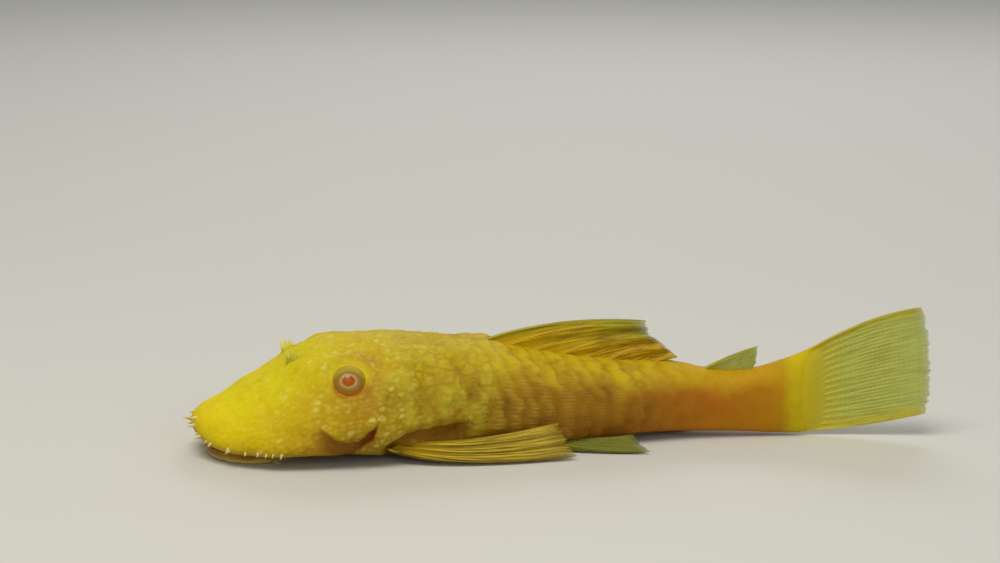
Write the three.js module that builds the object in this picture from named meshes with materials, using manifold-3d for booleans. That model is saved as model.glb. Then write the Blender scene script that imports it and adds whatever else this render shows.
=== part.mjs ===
// A golden bristlenose pleco (Ancistrus), life size, lying on its belly as it rests on a flat bottom.
// Millimetres. The fish is worked out straight, nose at s = 0, tail towards +X, left flank towards -Y and
// floor at z = 0. Then its body is bowed a little sideways and the origin is moved to the middle of the
// floor area that it covers.
import * as THREE from "three";
import { mergeVertices } from "three/addons/utils/BufferGeometryUtils.js";
import Module from "manifold-3d";

const wasm = await Module();
wasm.setup();

const DEG = Math.PI / 180;
const LEFT = -1;
const RIGHT = 1;

// Driving dimensions.
const SNOUT_TIP = 1.3;
const STANDARD_LENGTH = 100; // where the tail fin is rooted
const GAP = 0.3; // clearance between neighbouring pieces
const HEAD_END = 30; // where the gill slit parts head and trunk
const TORSO_END = 65.8; // behind the pelvic fins
const MAX_HALF_WIDTH = 15; // at the shoulder girdle
const SNOUT_END = 26; // where the head is widest
const SNOUT_ROUNDNESS = 2.2; // exponent of the snout's outline seen from above
const PLATE_COUNT = 24; // bony plates in one row, shoulder to tail fin
const PLATE_ROWS = 5; // rows of plates on each flank
const PLATE_RISE = 0.42; // height of a plate's rear edge over the next plate
const PLATE_SLANT = 3.0; // how far the top of a plate's rear edge lies in front of its middle
const EYE_S = 25.3;
const EYE_ANGLE = 41; // round the body, 0 at the widest line and 90 on the back
const EYE_RADIUS = 2.65;
const EYE_DEPTH = 1.9; // half thickness of the eye along its own axis
const EYE_SINK = 0.75; // how deep the middle of the eye lies under the skin
const BOW = 5; // sideways bow of the body
const BOW_S = 56; // where the bow is farthest out
const ORIGIN_S = 60.3; // middle of the fish's length, tips included
const ORIGIN_Y = 4.2; // middle of its spread across

// A smooth curve through [place, value] stations that never overshoots them.
function through(stations) {
  const step = stations.slice(1).map(([x, y], i) => {
    const [x0, y0] = stations[i];
    return { width: x - x0, slope: (y - y0) / (x - x0) };
  });
  const slopes = stations.map((_, i) => {
    if (i === 0) return step[0].slope;
    if (i === stations.length - 1) return step[i - 1].slope;
    const [a, b] = [step[i - 1], step[i]];
    if (a.slope * b.slope <= 0) return 0;
    const wa = 2 * b.width + a.width;
    const wb = b.width + 2 * a.width;
    return (wa + wb) / (wa / a.slope + wb / b.slope);
  });
  return (x) => {
    const last = stations.length - 2;
    const next = stations.findIndex(([place]) => place > x);
    const i = next < 0 ? last : Math.max(0, Math.min(last, next - 1));
    const { width } = step[i];
    const t = Math.min(1, Math.max(0, (x - stations[i][0]) / width));
    const [y0, y1] = [stations[i][1], stations[i + 1][1]];
    const rise = t * t * (3 - 2 * t);
    return y0 * (1 - rise) + y1 * rise
      + width * t * (1 - t) * (slopes[i] * (1 - t) - slopes[i + 1] * t);
  };
}

const between = (low, high, x) => {
  const t = Math.min(1, Math.max(0, (x - low) / (high - low)));
  return t * t * (3 - 2 * t);
};

// The body's lines, each a height or a width against s.
const backLine = through([
  [SNOUT_TIP, 5.2], [1.45, 6.2], [2.0, 6.9], [3.0, 7.6], [6.1, 8.9], [10, 11.3], [13, 13.0], [15.5, 14.5],
  [18, 16.2], [23, 17.8], [30, 18.2],
  [41, 17.2], [47.5, 16.8], [54, 15.2], [62, 13.6], [74, 12.4], [80, 12.1], [84, 11.3],
  [88, 10.8], [91, 10.9],
  [93.5, 11.4], [97, 12.6], [100, 13.8],
]);
const bellyLine = through([
  [SNOUT_TIP, 5.2], [1.5, 4.1], [2.0, 3.3], [3.1, 2.4], [5.2, 1.7], [8, 1.3], [12, 1.2],
  [24, 1.0], [33, 0], [60, 0],
  [68, 0.5], [80, 0.7], [90, 0.6], [96, 0.4], [100, 0.4],
]);
const widestLine = through([
  [SNOUT_TIP, 5.2], [2.0, 4.5], [3.3, 3.9], [5, 3.7], [12, 3.9], [20, 4.7], [30, 6.0], [45, 6.5],
  [60, 5.8], [75, 6], [90, 5.8], [100, 7],
]);
const trunkHalfWidth = through([
  [SNOUT_END, MAX_HALF_WIDTH], [35, 14.3], [41, 13.4], [48, 12.4], [56, 11], [65, 8.8], [74, 6.4],
  [84, 4.3], [93, 3.1], [100, 2.2],
]);
const upperPower = through([[0, 2], [10, 1.85], [30, 1.85], [42, 2.05], [100, 2.1]]);
const lowerPower = through([[0, 2], [8, 3], [65, 3], [80, 2.2], [100, 2.2]]);
const plateEdgeAngle = through([[30, -4], [48, -8], [58, -30], [70, -50], [100, -60]]);

function halfWidth(s) {
  if (s >= SNOUT_END) return trunkHalfWidth(s);
  const back = 1 - Math.max(0, s - SNOUT_TIP) / (SNOUT_END - SNOUT_TIP);
  return MAX_HALF_WIDTH * (1 - back ** SNOUT_ROUNDNESS) ** (1 / SNOUT_ROUNDNESS);
}

// A point of the skin: angle runs from -90 on the belly through 0 at the widest line to 90 on the back.
function skinPoint(s, angle, side, lift = 0) {
  const up = angle > 0;
  const power = 2 / (up ? upperPower(s) : lowerPower(s));
  const middle = widestLine(s);
  const reach = (up ? backLine(s) - middle : middle - bellyLine(s)) + lift;
  const across = Math.max(0, Math.cos(angle * DEG)) ** power;
  const rise = Math.abs(Math.sin(angle * DEG)) ** power;
  const height = middle + (up ? reach : -reach) * rise;
  return new THREE.Vector3(s, side * (halfWidth(s) + lift) * across, height);
}

// The outward direction of the skin at a point.
function skinNormal(s, angle, side) {
  const step = 0.4;
  const along = skinPoint(s + step, angle, side).sub(skinPoint(s - step, angle, side));
  const round = skinPoint(s, angle + step, side).sub(skinPoint(s, angle - step, side));
  return round.cross(along).multiplyScalar(side).normalize();
}

// Solids and geometries.
const MERGE = 1e-3; // corners closer than this are one corner
function solidOf(geometry) {
  const bare = new THREE.BufferGeometry().setAttribute("position", geometry.getAttribute("position"));
  if (geometry.index) bare.setIndex(geometry.index);
  const merged = mergeVertices(bare, MERGE);
  return new wasm.Manifold(new wasm.Mesh({
    numProp: 3,
    vertProperties: merged.attributes.position.array,
    triVerts: new Uint32Array(merged.index.array),
  }));
}

function geometryOf(solid) {
  const { vertProperties, triVerts, numProp, numVert } = solid.getMesh();
  const places = new Float32Array(numVert * 3);
  for (let i = 0; i < numVert; i++) {
    places.set(vertProperties.subarray(i * numProp, i * numProp + 3), i * 3);
  }
  return new THREE.BufferGeometry()
    .setAttribute("position", new THREE.BufferAttribute(places, 3))
    .setIndex(new THREE.BufferAttribute(triVerts, 1));
}

const largest = (solid) => solid.decompose().reduce((a, b) => (a.volume() > b.volume() ? a : b));
const settled = (solid) => largest(solidOf(geometryOf(largest(solid))));
const joined = (solids) => solids.reduce((a, b) => a.add(b));

function meshOf(points, faces) {
  return new THREE.BufferGeometry()
    .setAttribute("position", new THREE.Float32BufferAttribute(points.flatMap((p) => p.toArray()), 3))
    .setIndex(faces);
}

// Rings of points from front to back, closed by a fan to a middle point at each end.
function loft(rings, frontPoint, backPoint) {
  const count = rings[0].length;
  const points = [...rings.flat(), frontPoint, backPoint];
  const front = points.length - 2;
  const back = points.length - 1;
  const faces = [];
  for (let j = 0; j < count; j++) {
    const k = (j + 1) % count;
    faces.push(front, j, k);
    for (let i = 0; i < rings.length - 1; i++) {
      const [a, b] = [i * count, (i + 1) * count];
      faces.push(a + j, b + k, a + k, a + j, b + j, b + k);
    }
    const end = (rings.length - 1) * count;
    faces.push(back, end + k, end + j);
  }
  return meshOf(points, faces);
}

// A thin blade: pointAt(u, v) gives its middle and halfThickness(u, v) its half thickness.
// Both faces are split into triangles alike.
function blade(across, along, pointAt, halfThickness) {
  const faces = [];
  const points = [];
  const step = 1e-3;
  const index = (side, i, j) => side * (across + 1) * (along + 1) + i * (along + 1) + j;
  for (const side of [0, 1]) {
    for (let i = 0; i <= across; i++) {
      for (let j = 0; j <= along; j++) {
        const [u, v] = [i / across, j / along];
        const du = u + step > 1 ? -step : step;
        const dv = v + step > 1 ? -step : step;
        const p = pointAt(u, v);
        const eu = pointAt(u + du, v).sub(p).multiplyScalar(1 / du);
        const ev = pointAt(u, v + dv).sub(p).multiplyScalar(1 / dv);
        const normal = eu.cross(ev).normalize();
        points.push(p.addScaledVector(normal, (side ? -1 : 1) * halfThickness(u, v)));
      }
    }
  }
  for (let i = 0; i < across; i++) {
    for (let j = 0; j < along; j++) {
      for (const side of [0, 1]) {
        const [a, b, c, d] = [
          index(side, i, j), index(side, i + 1, j), index(side, i + 1, j + 1), index(side, i, j + 1),
        ];
        if (side === 0) faces.push(a, b, c, a, c, d);
        else faces.push(a, c, b, a, d, c);
      }
    }
  }
  const edge = (a, b, c, d) => faces.push(a, b, c, a, c, d);
  for (let i = 0; i < across; i++) {
    edge(index(1, i, 0), index(1, i + 1, 0), index(0, i + 1, 0), index(0, i, 0));
    edge(index(0, i, along), index(0, i + 1, along), index(1, i + 1, along), index(1, i, along));
  }
  for (let j = 0; j < along; j++) {
    edge(index(0, 0, j), index(0, 0, j + 1), index(1, 0, j + 1), index(1, 0, j));
    edge(index(1, across, j), index(1, across, j + 1), index(0, across, j + 1), index(0, across, j));
  }
  return meshOf(points, faces);
}

function ellipsoid(centre, radii, turn = new THREE.Quaternion(), columns = 16, rows = 10) {
  const geometry = new THREE.SphereGeometry(1, columns, rows);
  const place = new THREE.Matrix4().compose(centre, turn, new THREE.Vector3(...radii));
  return solidOf(geometry.applyMatrix4(place));
}

// A short pointed spine with its root sunk into what it grows from.
function spine(root, direction, length, radius, sink = 0.5) {
  const cone = new THREE.ConeGeometry(radius, length + sink, 5, 1);
  cone.translate(0, (length + sink) / 2 - sink, 0);
  const along = direction.clone().normalize();
  const turn = new THREE.Quaternion().setFromUnitVectors(new THREE.Vector3(0, 1, 0), along);
  const placed = new THREE.Matrix4().compose(root, turn, new THREE.Vector3(1, 1, 1));
  return solidOf(cone.applyMatrix4(placed));
}

const FLOOR_BLOCK = 300;
const floorBlock = new THREE.BoxGeometry(FLOOR_BLOCK, FLOOR_BLOCK, FLOOR_BLOCK);
const floor = solidOf(floorBlock.translate(0, 0, -FLOOR_BLOCK / 2));

// The same numbers in the same order each time.
function seededRandom(seed) {
  let state = seed;
  return () => {
    state = (state * 16807) % 2147483647;
    return state / 2147483647;
  };
}

// Head relief: a raised rim round each eye socket, strongest over the eye.
const eyeSpot = (side) => skinPoint(EYE_S, EYE_ANGLE, side);
const EYE_RIM_RADIUS = 3.2;
const EYE_RIM_WIDTH = 1.25;
const EYE_RIM_RISE = 1.6;
const BROW_LEAD = 0.7; // how far the rim's middle lies in front of the eye's
function headLift(s, angle, side) {
  const point = skinPoint(s, angle, side);
  const spot = skinPoint(EYE_S - BROW_LEAD, EYE_ANGLE, side);
  const off = (point.distanceTo(spot) - EYE_RIM_RADIUS) / EYE_RIM_WIDTH;
  const above = 0.6 + 0.4 * Math.max(-1, Math.min(1, (point.z - spot.z) / 2));
  return EYE_RIM_RISE * above * Math.exp(-off * off);
}

const bothSides = (angles, pointAt) => [
  ...angles.map((angle) => pointAt(angle, LEFT)),
  ...angles.slice(1, -1).reverse().map((angle) => pointAt(angle, RIGHT)),
];
const middleOf = (s) => new THREE.Vector3(s, 0, widestLine(s));

const HEAD_ANGLES = [-90, -70, -52, -36, -22, -10];
const HEAD_UPPER_STEPS = 15;
for (let i = 0; i <= HEAD_UPPER_STEPS; i++) HEAD_ANGLES.push((90 * i) / HEAD_UPPER_STEPS);
const SNOUT_PLACES = [0.08, 0.3, 0.8, 1.6, 2.8, 4.3, 6, 7.9, 9.8, 11.6, 13.4, 15.2, 16.8];
const HEAD_PLACES = SNOUT_PLACES.map((s) => s + SNOUT_TIP);
for (let s = 18.8; s < HEAD_END - 0.5; s += 1.12) HEAD_PLACES.push(s);
HEAD_PLACES.push(HEAD_END);

function headShell(grow = 0) {
  const rings = HEAD_PLACES.map((s) => bothSides(HEAD_ANGLES, (angle, side) => (
    skinPoint(s, angle, side, headLift(s, angle, side) + grow))));
  const tip = new THREE.Vector3(SNOUT_TIP - grow, 0, backLine(SNOUT_TIP));
  return solidOf(loft(rings, tip, middleOf(HEAD_END)));
}

// Plated trunk and tail. A plate is low in front, high at its rear edge and sunk at its row's borders.
const PLATES_START = HEAD_END + GAP;
const PLATE_PITCH = (STANDARD_LENGTH - PLATES_START) / PLATE_COUNT;
const PLATE_PHASES = [{ at: 0.03, rise: 0 }, { at: 0.5, rise: 0.62 }, { at: 0.9, rise: 1 }];
const BELLY_STEPS = 3;
const STEPS_IN_ROW = 3;

// Ring angles at s, and how far a point lies inside its plate (0 on a row's border, 1 in its middle).
function plateAngles(s) {
  const edge = plateEdgeAngle(s);
  const list = [];
  for (let i = 0; i < BELLY_STEPS; i++) {
    list.push({ angle: -90 + ((edge + 90) * i) / BELLY_STEPS, crown: 0 });
  }
  const steps = PLATE_ROWS * STEPS_IN_ROW;
  for (let i = 0; i <= steps; i++) {
    list.push({ angle: edge + ((90 - edge) * i) / steps, crown: i % STEPS_IN_ROW ? 1 : 0 });
  }
  return list;
}

const PLATE_MIDDLE_ANGLE = 14;
function slantAt(s, angle) {
  const strength = between(34, 50, s) * (1 - between(90, 99, s)) * (1 - 0.35 * between(60, 90, s));
  const off = angle - PLATE_MIDDLE_ANGLE;
  const above = Math.max(0, off) / (90 - PLATE_MIDDLE_ANGLE);
  const below = Math.min(1, Math.max(0, -off) / 60);
  return -PLATE_SLANT * strength * (above + 0.25 * below);
}

// The hollow in the flank above the pectoral fin.
const HOLLOW_S = 38;
const HOLLOW_ANGLE = -30;
const HOLLOW_DEPTH = 1.5;
function hollow(s, angle) {
  const along = (s - HOLLOW_S) / 7;
  const round = (angle - HOLLOW_ANGLE) / 20;
  return HOLLOW_DEPTH * Math.exp(-along * along - round * round);
}

function platedRing(s, rise, grow) {
  const steps = plateAngles(s);
  return bothSides(steps.map((_, i) => i), (i, side) => {
    const { angle, crown } = steps[i];
    const place = s + slantAt(s, angle);
    return skinPoint(place, angle, side, PLATE_RISE * rise * crown + grow - hollow(s, angle));
  });
}

function platedShell(start, end, grow = 0) {
  const rings = [platedRing(start, 0, grow)];
  for (let plate = 0; plate < PLATE_COUNT; plate++) {
    for (const { at, rise } of PLATE_PHASES) {
      const s = PLATES_START + (plate + at) * PLATE_PITCH;
      if (s > start + 0.35 && s < end - 0.35) rings.push(platedRing(s, rise, grow));
    }
  }
  rings.push(platedRing(end, 0.6, grow));
  return solidOf(loft(rings, middleOf(start), middleOf(end)));
}

// Eyes.
const EYE_TILT = 36; // how far the eye looks up from level
const EYE_TURN = 8; // how far it looks forward
function eyeFrame(side) {
  const [up, turn] = [EYE_TILT * DEG, EYE_TURN * DEG];
  const level = Math.cos(up);
  const look = new THREE.Vector3(-Math.sin(turn) * level, side * Math.cos(turn) * level, Math.sin(up));
  const centre = eyeSpot(side).addScaledVector(look, -EYE_SINK);
  return { centre, turn: new THREE.Quaternion().setFromUnitVectors(new THREE.Vector3(0, 1, 0), look) };
}
function eyeSolid(side, grow = 0) {
  const { centre, turn } = eyeFrame(side);
  const radius = EYE_RADIUS + grow;
  return ellipsoid(centre, [radius, EYE_DEPTH + grow, radius], turn, 16, 8);
}

// Nostrils: two pits with a raised flap of skin between them.
const NOSTRIL_S = 17;
const NOSTRIL_ANGLE = 75;
const NOSTRIL_PIT = 0.7;
function nostrilPits(side) {
  return [-1.1, 1.0].map((off) => {
    const centre = skinPoint(NOSTRIL_S + off, NOSTRIL_ANGLE, side, 0.1);
    return ellipsoid(centre, [NOSTRIL_PIT, NOSTRIL_PIT, NOSTRIL_PIT], undefined, 8, 6);
  });
}
const FLAP_POINTS = 4;
const FLAP_HEIGHT = 1.75;
function nostrilFlap(side) {
  const root = skinPoint(NOSTRIL_S, NOSTRIL_ANGLE, side);
  const lean = new THREE.Vector3(-0.25, side * 0.3, 1).normalize();
  const turn = new THREE.Quaternion().setFromUnitVectors(new THREE.Vector3(0, 1, 0), lean);
  const pieces = [ellipsoid(root, [0.85, 0.95, 0.5], turn, 8, 6)];
  for (let i = 0; i < FLAP_POINTS; i++) {
    const spread = (2 * i) / (FLAP_POINTS - 1) - 1;
    const foot = root.clone().add(new THREE.Vector3(0.4 * spread, side * 0.25 * spread, 0));
    const direction = new THREE.Vector3(0.35 * spread, side * 0.2, 1);
    const height = FLAP_HEIGHT * (1 - 0.25 * spread * spread);
    pieces.push(spine(foot, direction, height, 0.42));
  }
  return pieces;
}

// Short bristles round the front and lower edge of the snout. Each one: place along the body, angle round
// it and length.
const BRISTLES = [
  [1.45, 8, 1.3], [1.7, 58, 0.8], [2.0, -26, 1.0], [3.3, -15, 0.75], [5.7, -11, 0.95], [8.3, -14, 0.7],
  [10.2, -12, 0.8], [11.5, -14, 0.8], [12.6, -11, 0.9], [13.9, -13, 1.1],
];
const BRISTLE_ROOT = 0.4;
function bristles() {
  const random = seededRandom(11);
  const list = [];
  for (const side of [LEFT, RIGHT]) {
    for (const [s, angle, length] of BRISTLES) {
      const root = skinPoint(s, angle, side);
      const droop = between(1.5, 6, s);
      const lean = new THREE.Vector3(-0.3, 0, 0.2 * (random() - 0.5) - 0.7 * droop);
      const direction = skinNormal(s, angle, side).add(lean);
      list.push(spine(root, direction, length, BRISTLE_ROOT));
    }
  }
  return list;
}

// Gill covers: a domed plate on each cheek with small spines on its lower rear edge.
const COVER_S = 25.1;
const COVER_ANGLE = 10.5;
const COVER_HALF_LENGTH = 3.9;
const COVER_HALF_ANGLE = 12.5;
const COVER_POINTS = 20;
const COVER_RINGS = 3;
const COVER_INNER = -0.45;
const COVER_OUTER = 0.5;
const COVER_BED = -0.8;
const GILL_OPENING = 1.1; // how far the opening gapes below and behind the cover
const GILL_OPENING_TURN = -45 * DEG;
const coverPlace = (turn, part, margin) => {
  const degreesPerMm = 4.4;
  const s = COVER_S + (COVER_HALF_LENGTH + margin) * part * Math.cos(turn);
  const angle = COVER_ANGLE + (COVER_HALF_ANGLE + margin * degreesPerMm) * part * Math.sin(turn);
  return [s, angle];
};
// The plate's solid between two depths, both measured from the skin and joined at the rim.
function coverSolid(side, inner, outer, rim, margin = 0, opening = 0) {
  const ring = (part, lift) => {
    const list = [];
    for (let i = 0; i < COVER_POINTS; i++) {
      const turn = (-2 * Math.PI * i * side) / COVER_POINTS;
      const gape = opening * Math.max(0, Math.cos(turn - GILL_OPENING_TURN)) ** 2;
      list.push(skinPoint(...coverPlace(turn, part, margin + gape), side, lift));
    }
    return list;
  };
  const rings = [];
  for (let i = 1; i < COVER_RINGS; i++) rings.push(ring(i / COVER_RINGS, outer));
  rings.push(ring(1, rim));
  for (let i = COVER_RINGS; i >= 1; i--) rings.push(ring(i / COVER_RINGS, inner));
  const middle = (lift) => skinPoint(COVER_S, COVER_ANGLE, side, lift);
  return solidOf(loft(rings, middle(outer), middle(inner)));
}
const COVER_SPINES = 9;
function coverSpines(side) {
  const list = [];
  for (let i = 0; i < COVER_SPINES; i++) {
    const turn = (-115 + (110 * i) / (COVER_SPINES - 1)) * DEG;
    const [s, angle] = coverPlace(turn, 0.9, 0);
    const root = skinPoint(s, angle, side, 0.12);
    const tip = skinPoint(...coverPlace(turn, 1.12, 0), side, 0.75);
    const direction = tip.sub(root).normalize().add(new THREE.Vector3(0.6, 0, 0));
    list.push(spine(root, direction, 1.25, 0.34));
  }
  return list;
}
const gillCover = (side) => largest(joined([
  coverSolid(side, COVER_INNER, COVER_OUTER, 0.12), ...coverSpines(side),
]));
const gillCoverBed = (side) => coverSolid(side, COVER_BED, 2.6, 2.6, GAP + 0.05, GILL_OPENING);

// The sucker mouth: a soft disc of lips that lies flat on the floor, with a barbel at each side.
const MOUTH_S = 11.2;
const MOUTH_HALF_WIDTH = 8.8;
const MOUTH_HALF_LENGTH = 8;
const MOUTH_TOP = 1.9;
function mouthSolid() {
  const profile = [
    [0, 0.55], [0.32, 0.5], [0.6, 0.3], [0.68, 0], [0.93, 0], [0.99, 0.35], [1, 0.9], [0.94, 1.5],
    [0.8, MOUTH_TOP], [0, MOUTH_TOP],
  ].map(([x, y]) => new THREE.Vector2(x, y));
  const disc = new THREE.LatheGeometry(profile, 28).rotateX(Math.PI / 2);
  disc.scale(MOUTH_HALF_LENGTH, MOUTH_HALF_WIDTH, 1).translate(MOUTH_S, 0, 0);
  let solid = solidOf(disc);
  const slit = ellipsoid(new THREE.Vector3(MOUTH_S - 1.4, 0, 0.4), [1.3, 3.4, 0.95], undefined, 14, 8);
  const barbels = [LEFT, RIGHT].map((side) => {
    const root = new THREE.Vector3(MOUTH_S + 1.5, side * 8.0, 0.42);
    return spine(root, new THREE.Vector3(0.55, side, -0.03), 2.6, 0.42, 0.8);
  });
  solid = solid.subtract(slit).add(joined(barbels));
  return largest(solid);
}

function mouthPocket() {
  const pocket = new THREE.CylinderGeometry(1, 1, 2 * (MOUTH_TOP + GAP), 28).rotateX(Math.PI / 2);
  pocket.scale(MOUTH_HALF_LENGTH + GAP + 0.1, MOUTH_HALF_WIDTH + GAP + 0.1, 1).translate(MOUTH_S, 0, 0);
  return solidOf(pocket);
}

function headSolid() {
  let head = headShell();
  for (const side of [LEFT, RIGHT]) head = head.add(joined(nostrilFlap(side)));
  head = head.add(joined(bristles()));
  for (const side of [LEFT, RIGHT]) {
    head = head.subtract(joined(nostrilPits(side))).subtract(eyeSolid(side, GAP));
    head = head.subtract(gillCoverBed(side));
  }
  return largest(head.subtract(mouthPocket()));
}

// Fins. A ray is a curve from root to tip through a control point; between rays the web is thinner.
const bezier = (a, b, c, t) => a.clone().multiplyScalar((1 - t) ** 2)
  .addScaledVector(b, 2 * t * (1 - t)).addScaledVector(c, t * t);

// rayAt(u) gives the curve of the ray at u from 0 (leading) to 1 (last) as root, control and tip.
function fin({ rays, rows, rayAt, leadRadius, rayHalf, webHalf, tipHalf, wave = 0 }) {
  const across = 2 * (rays - 1);
  const pointAt = (u, v) => {
    const { root, control, tip } = rayAt(u);
    const p = bezier(root, control, tip, v);
    const pleat = Math.cos(u * Math.PI * (rays - 1)) * wave * v;
    return p.add(new THREE.Vector3(0, pleat, 0));
  };
  const halfThickness = (u, v) => {
    const column = Math.round(u * across);
    const onRay = column % 2 === 0;
    const lead = column === 0 ? leadRadius : onRay ? rayHalf : webHalf;
    return lead + (tipHalf - lead) * v ** 1.3;
  };
  return solidOf(blade(across, rows, pointAt, halfThickness));
}

// A stout round fin spine along a ray.
const SPINE_SIDES = 8;
const SPINE_STEPS = 9;
function finSpine({ root, control, tip }, rootRadius, tipRadius) {
  const step = 1e-3;
  const rings = [];
  for (let i = 0; i <= SPINE_STEPS; i++) {
    const t = i / SPINE_STEPS;
    const middle = bezier(root, control, tip, t);
    const ahead = bezier(root, control, tip, t + step).sub(middle).normalize();
    const across = new THREE.Vector3(0, 0, 1).cross(ahead).normalize();
    const up = ahead.clone().cross(across);
    const radius = rootRadius + (tipRadius - rootRadius) * t ** 1.2;
    const ring = [];
    for (let j = 0; j < SPINE_SIDES; j++) {
      const turn = (2 * Math.PI * j) / SPINE_SIDES;
      const [side, down] = [radius * Math.sin(turn), radius * Math.cos(turn)];
      ring.push(middle.clone().addScaledVector(across, -side).addScaledVector(up, -down));
    }
    rings.push(ring);
  }
  return solidOf(loft(rings, root, tip));
}

const vector = (x, y, z) => new THREE.Vector3(x, y, z);
const mix = (a, b, t) => a + (b - a) * t;

// Dorsal fin: a spine and seven rays, folded back along the body.
const DORSAL_ROOT_START = 47.3;
const DORSAL_ROOT_END = 75;
const dorsalTipS = through([[0, 75.0], [0.3, 76.0], [0.6, 77.9], [1, 80.3]]);
const dorsalTipZ = through([[0, 19.1], [0.2, 17.8], [0.5, 15.9], [1, 13.1]]);
function dorsalFin() {
  return fin({
    rays: 8, rows: 9, leadRadius: 0.62, rayHalf: 0.5, webHalf: 0.27, tipHalf: 0.24, wave: 0.35,
    rayAt: (u) => {
      const s = mix(DORSAL_ROOT_START, DORSAL_ROOT_END, u);
      const root = vector(s, 0, backLine(s) - mix(0.9, 1.6, u));
      const tip = vector(dorsalTipS(u), 0, dorsalTipZ(u));
      const control = root.clone().lerp(tip, 0.42).add(vector(0, 0, mix(3.1, 0.7, u ** 0.7)));
      return { root, control, tip };
    },
  });
}

// Tail fin: sixteen rays spread upwards, the lowest the longest.
const TAIL_FIN_START = STANDARD_LENGTH + GAP;
const tailTipS = through([[0, 119.3], [0.12, 120.5], [0.35, 121.2], [0.8, 121.6], [1, 120.7]]);
function tailFin() {
  const rootTop = backLine(STANDARD_LENGTH) - 0.35;
  const rootBottom = bellyLine(STANDARD_LENGTH) + 0.15;
  const tipTop = 21.9;
  const tipBottom = 4.1;
  const thickRoot = 1.9;
  const across = 30;
  const pointAt = (u, v) => {
    const root = vector(TAIL_FIN_START, 0, mix(rootTop, rootBottom, u));
    const tip = vector(tailTipS(u), 0, mix(tipTop, tipBottom, u));
    const control = root.clone().lerp(tip, 0.5).add(vector(0, 0, mix(2.6, -1.1, u)));
    const p = bezier(root, control, tip, v);
    p.y = 0.5 * Math.sin(u * Math.PI * 2) * v * v;
    return p;
  };
  const halfThickness = (u, v) => {
    const column = Math.round(u * across);
    const edge = column === 0 || column === across;
    const ray = edge ? 0.6 : column % 2 === 0 ? 0.48 : 0.27;
    const belly = thickRoot * Math.sqrt(Math.max(0.08, 1 - (2 * u - 1) ** 2));
    const fleshy = 1 - between(0, 0.3, v);
    return mix(mix(ray, 0.24, v ** 1.5), Math.max(belly, ray), fleshy);
  };
  return solidOf(blade(across, 9, pointAt, halfThickness));
}

// Adipose fin: a short spine laid back with a web behind it.
const ADIPOSE_START = 83.2;
const ADIPOSE_END = 91.6;
function adiposeFin() {
  const pointAt = (u, v) => {
    const s = mix(ADIPOSE_START, ADIPOSE_END, u);
    const root = vector(s, 0, backLine(s) - 1.2);
    const tip = vector(mix(93.4, 93.1, u), 0, mix(14.9, 12.1, u));
    const control = root.clone().lerp(tip, 0.5).add(vector(0, 0, mix(0.9, 0.1, u)));
    return bezier(root, control, tip, v);
  };
  return solidOf(blade(4, 6, pointAt, (u, v) => mix(mix(0.65, 0.3, Math.min(1, u * 4)), 0.26, v)));
}

// Anal fin: five short rays folded back and laid over on the floor to one side.
const ANAL_START = 73;
const ANAL_END = 77;
function analFin() {
  return fin({
    rays: 5, rows: 6, leadRadius: 0.42, rayHalf: 0.38, webHalf: 0.26, tipHalf: 0.25,
    rayAt: (u) => {
      const s = mix(ANAL_START, ANAL_END, u);
      const root = vector(s, mix(1.6, 0.8, u), 1.3);
      const tip = vector(mix(83.5, 86, u), mix(4.6, 2.4, u), 0.42);
      const control = vector(mix(77.5, 80.5, u), mix(3.8, 2, u), 0.3);
      return { root, control, tip };
    },
  });
}

// Pectoral fin: a stout spine laid back on the floor, six rays stacked up against the flank.
function pectoralFin(side) {
  const rayAt = (u) => {
    const root = vector(mix(31.4, 34.4, u), side * mix(12.0, 11.8, u), mix(2.2, 3.4, u));
    const tip = vector(mix(62.8, 59.8, u), side * mix(14.0, 12.2, u ** 0.8), mix(0.7, 5.8, u));
    const control = vector(mix(43, 45, u), side * mix(17.4, 14.8, u), mix(-0.2, 3.3, u));
    return { root, control, tip };
  };
  const fan = fin({ rays: 7, rows: 10, leadRadius: 0.5, rayHalf: 0.45, webHalf: 0.27, tipHalf: 0.3, rayAt });
  return fan.add(finSpine(rayAt(0), 1.05, 0.5));
}

// Pelvic fin: a spine and five rays, folded back beside the belly.
function pelvicFin(side) {
  const rayAt = (u) => {
    const root = vector(mix(54, 58, u), side * mix(7.4, 6.0, u), mix(1.8, 2.0, u));
    const tip = vector(mix(75, 72.6, u), side * mix(11.4, 7.8, u), mix(0.55, 2.2, u));
    const control = vector(mix(64, 65, u), side * mix(11.6, 8.2, u), mix(0.1, 1.2, u));
    return { root, control, tip };
  };
  const fan = fin({ rays: 6, rows: 8, leadRadius: 0.4, rayHalf: 0.42, webHalf: 0.27, tipHalf: 0.28, rayAt });
  return fan.add(finSpine(rayAt(0), 0.8, 0.4));
}

// Materials, one for each kind of surface.
const finish = (color, roughness) => new THREE.MeshStandardMaterial({ color, roughness, metalness: 0 });
const goldSkin = finish("#d9b52a", 0.5);
const lemonSkin = finish("#e0cc22", 0.48);
const lipSkin = finish("#c9a24a", 0.55);
const finWeb = finish("#d0b93a", 0.45);
const eyeGloss = finish("#c9683c", 0.15);

// The fish is bowed and moved to its origin only when every piece has been cut.
function place(geometry) {
  const spots = geometry.getAttribute("position");
  for (let i = 0; i < spots.count; i++) {
    const s = spots.getX(i);
    const across = spots.getY(i);
    const bend = (2 * BOW) / BOW_S ** 2;
    const heading = Math.atan(bend * (BOW_S - s));
    const shortening = (bend ** 2 / 6) * ((s - BOW_S) ** 3 + BOW_S ** 3);
    const bow = BOW * (1 - ((s - BOW_S) / BOW_S) ** 2);
    const x = s - shortening - across * Math.sin(heading);
    const y = bow + across * Math.cos(heading);
    spots.setXYZ(i, x - ORIGIN_S, y - ORIGIN_Y, spots.getZ(i));
  }
  return geometry;
}

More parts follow.
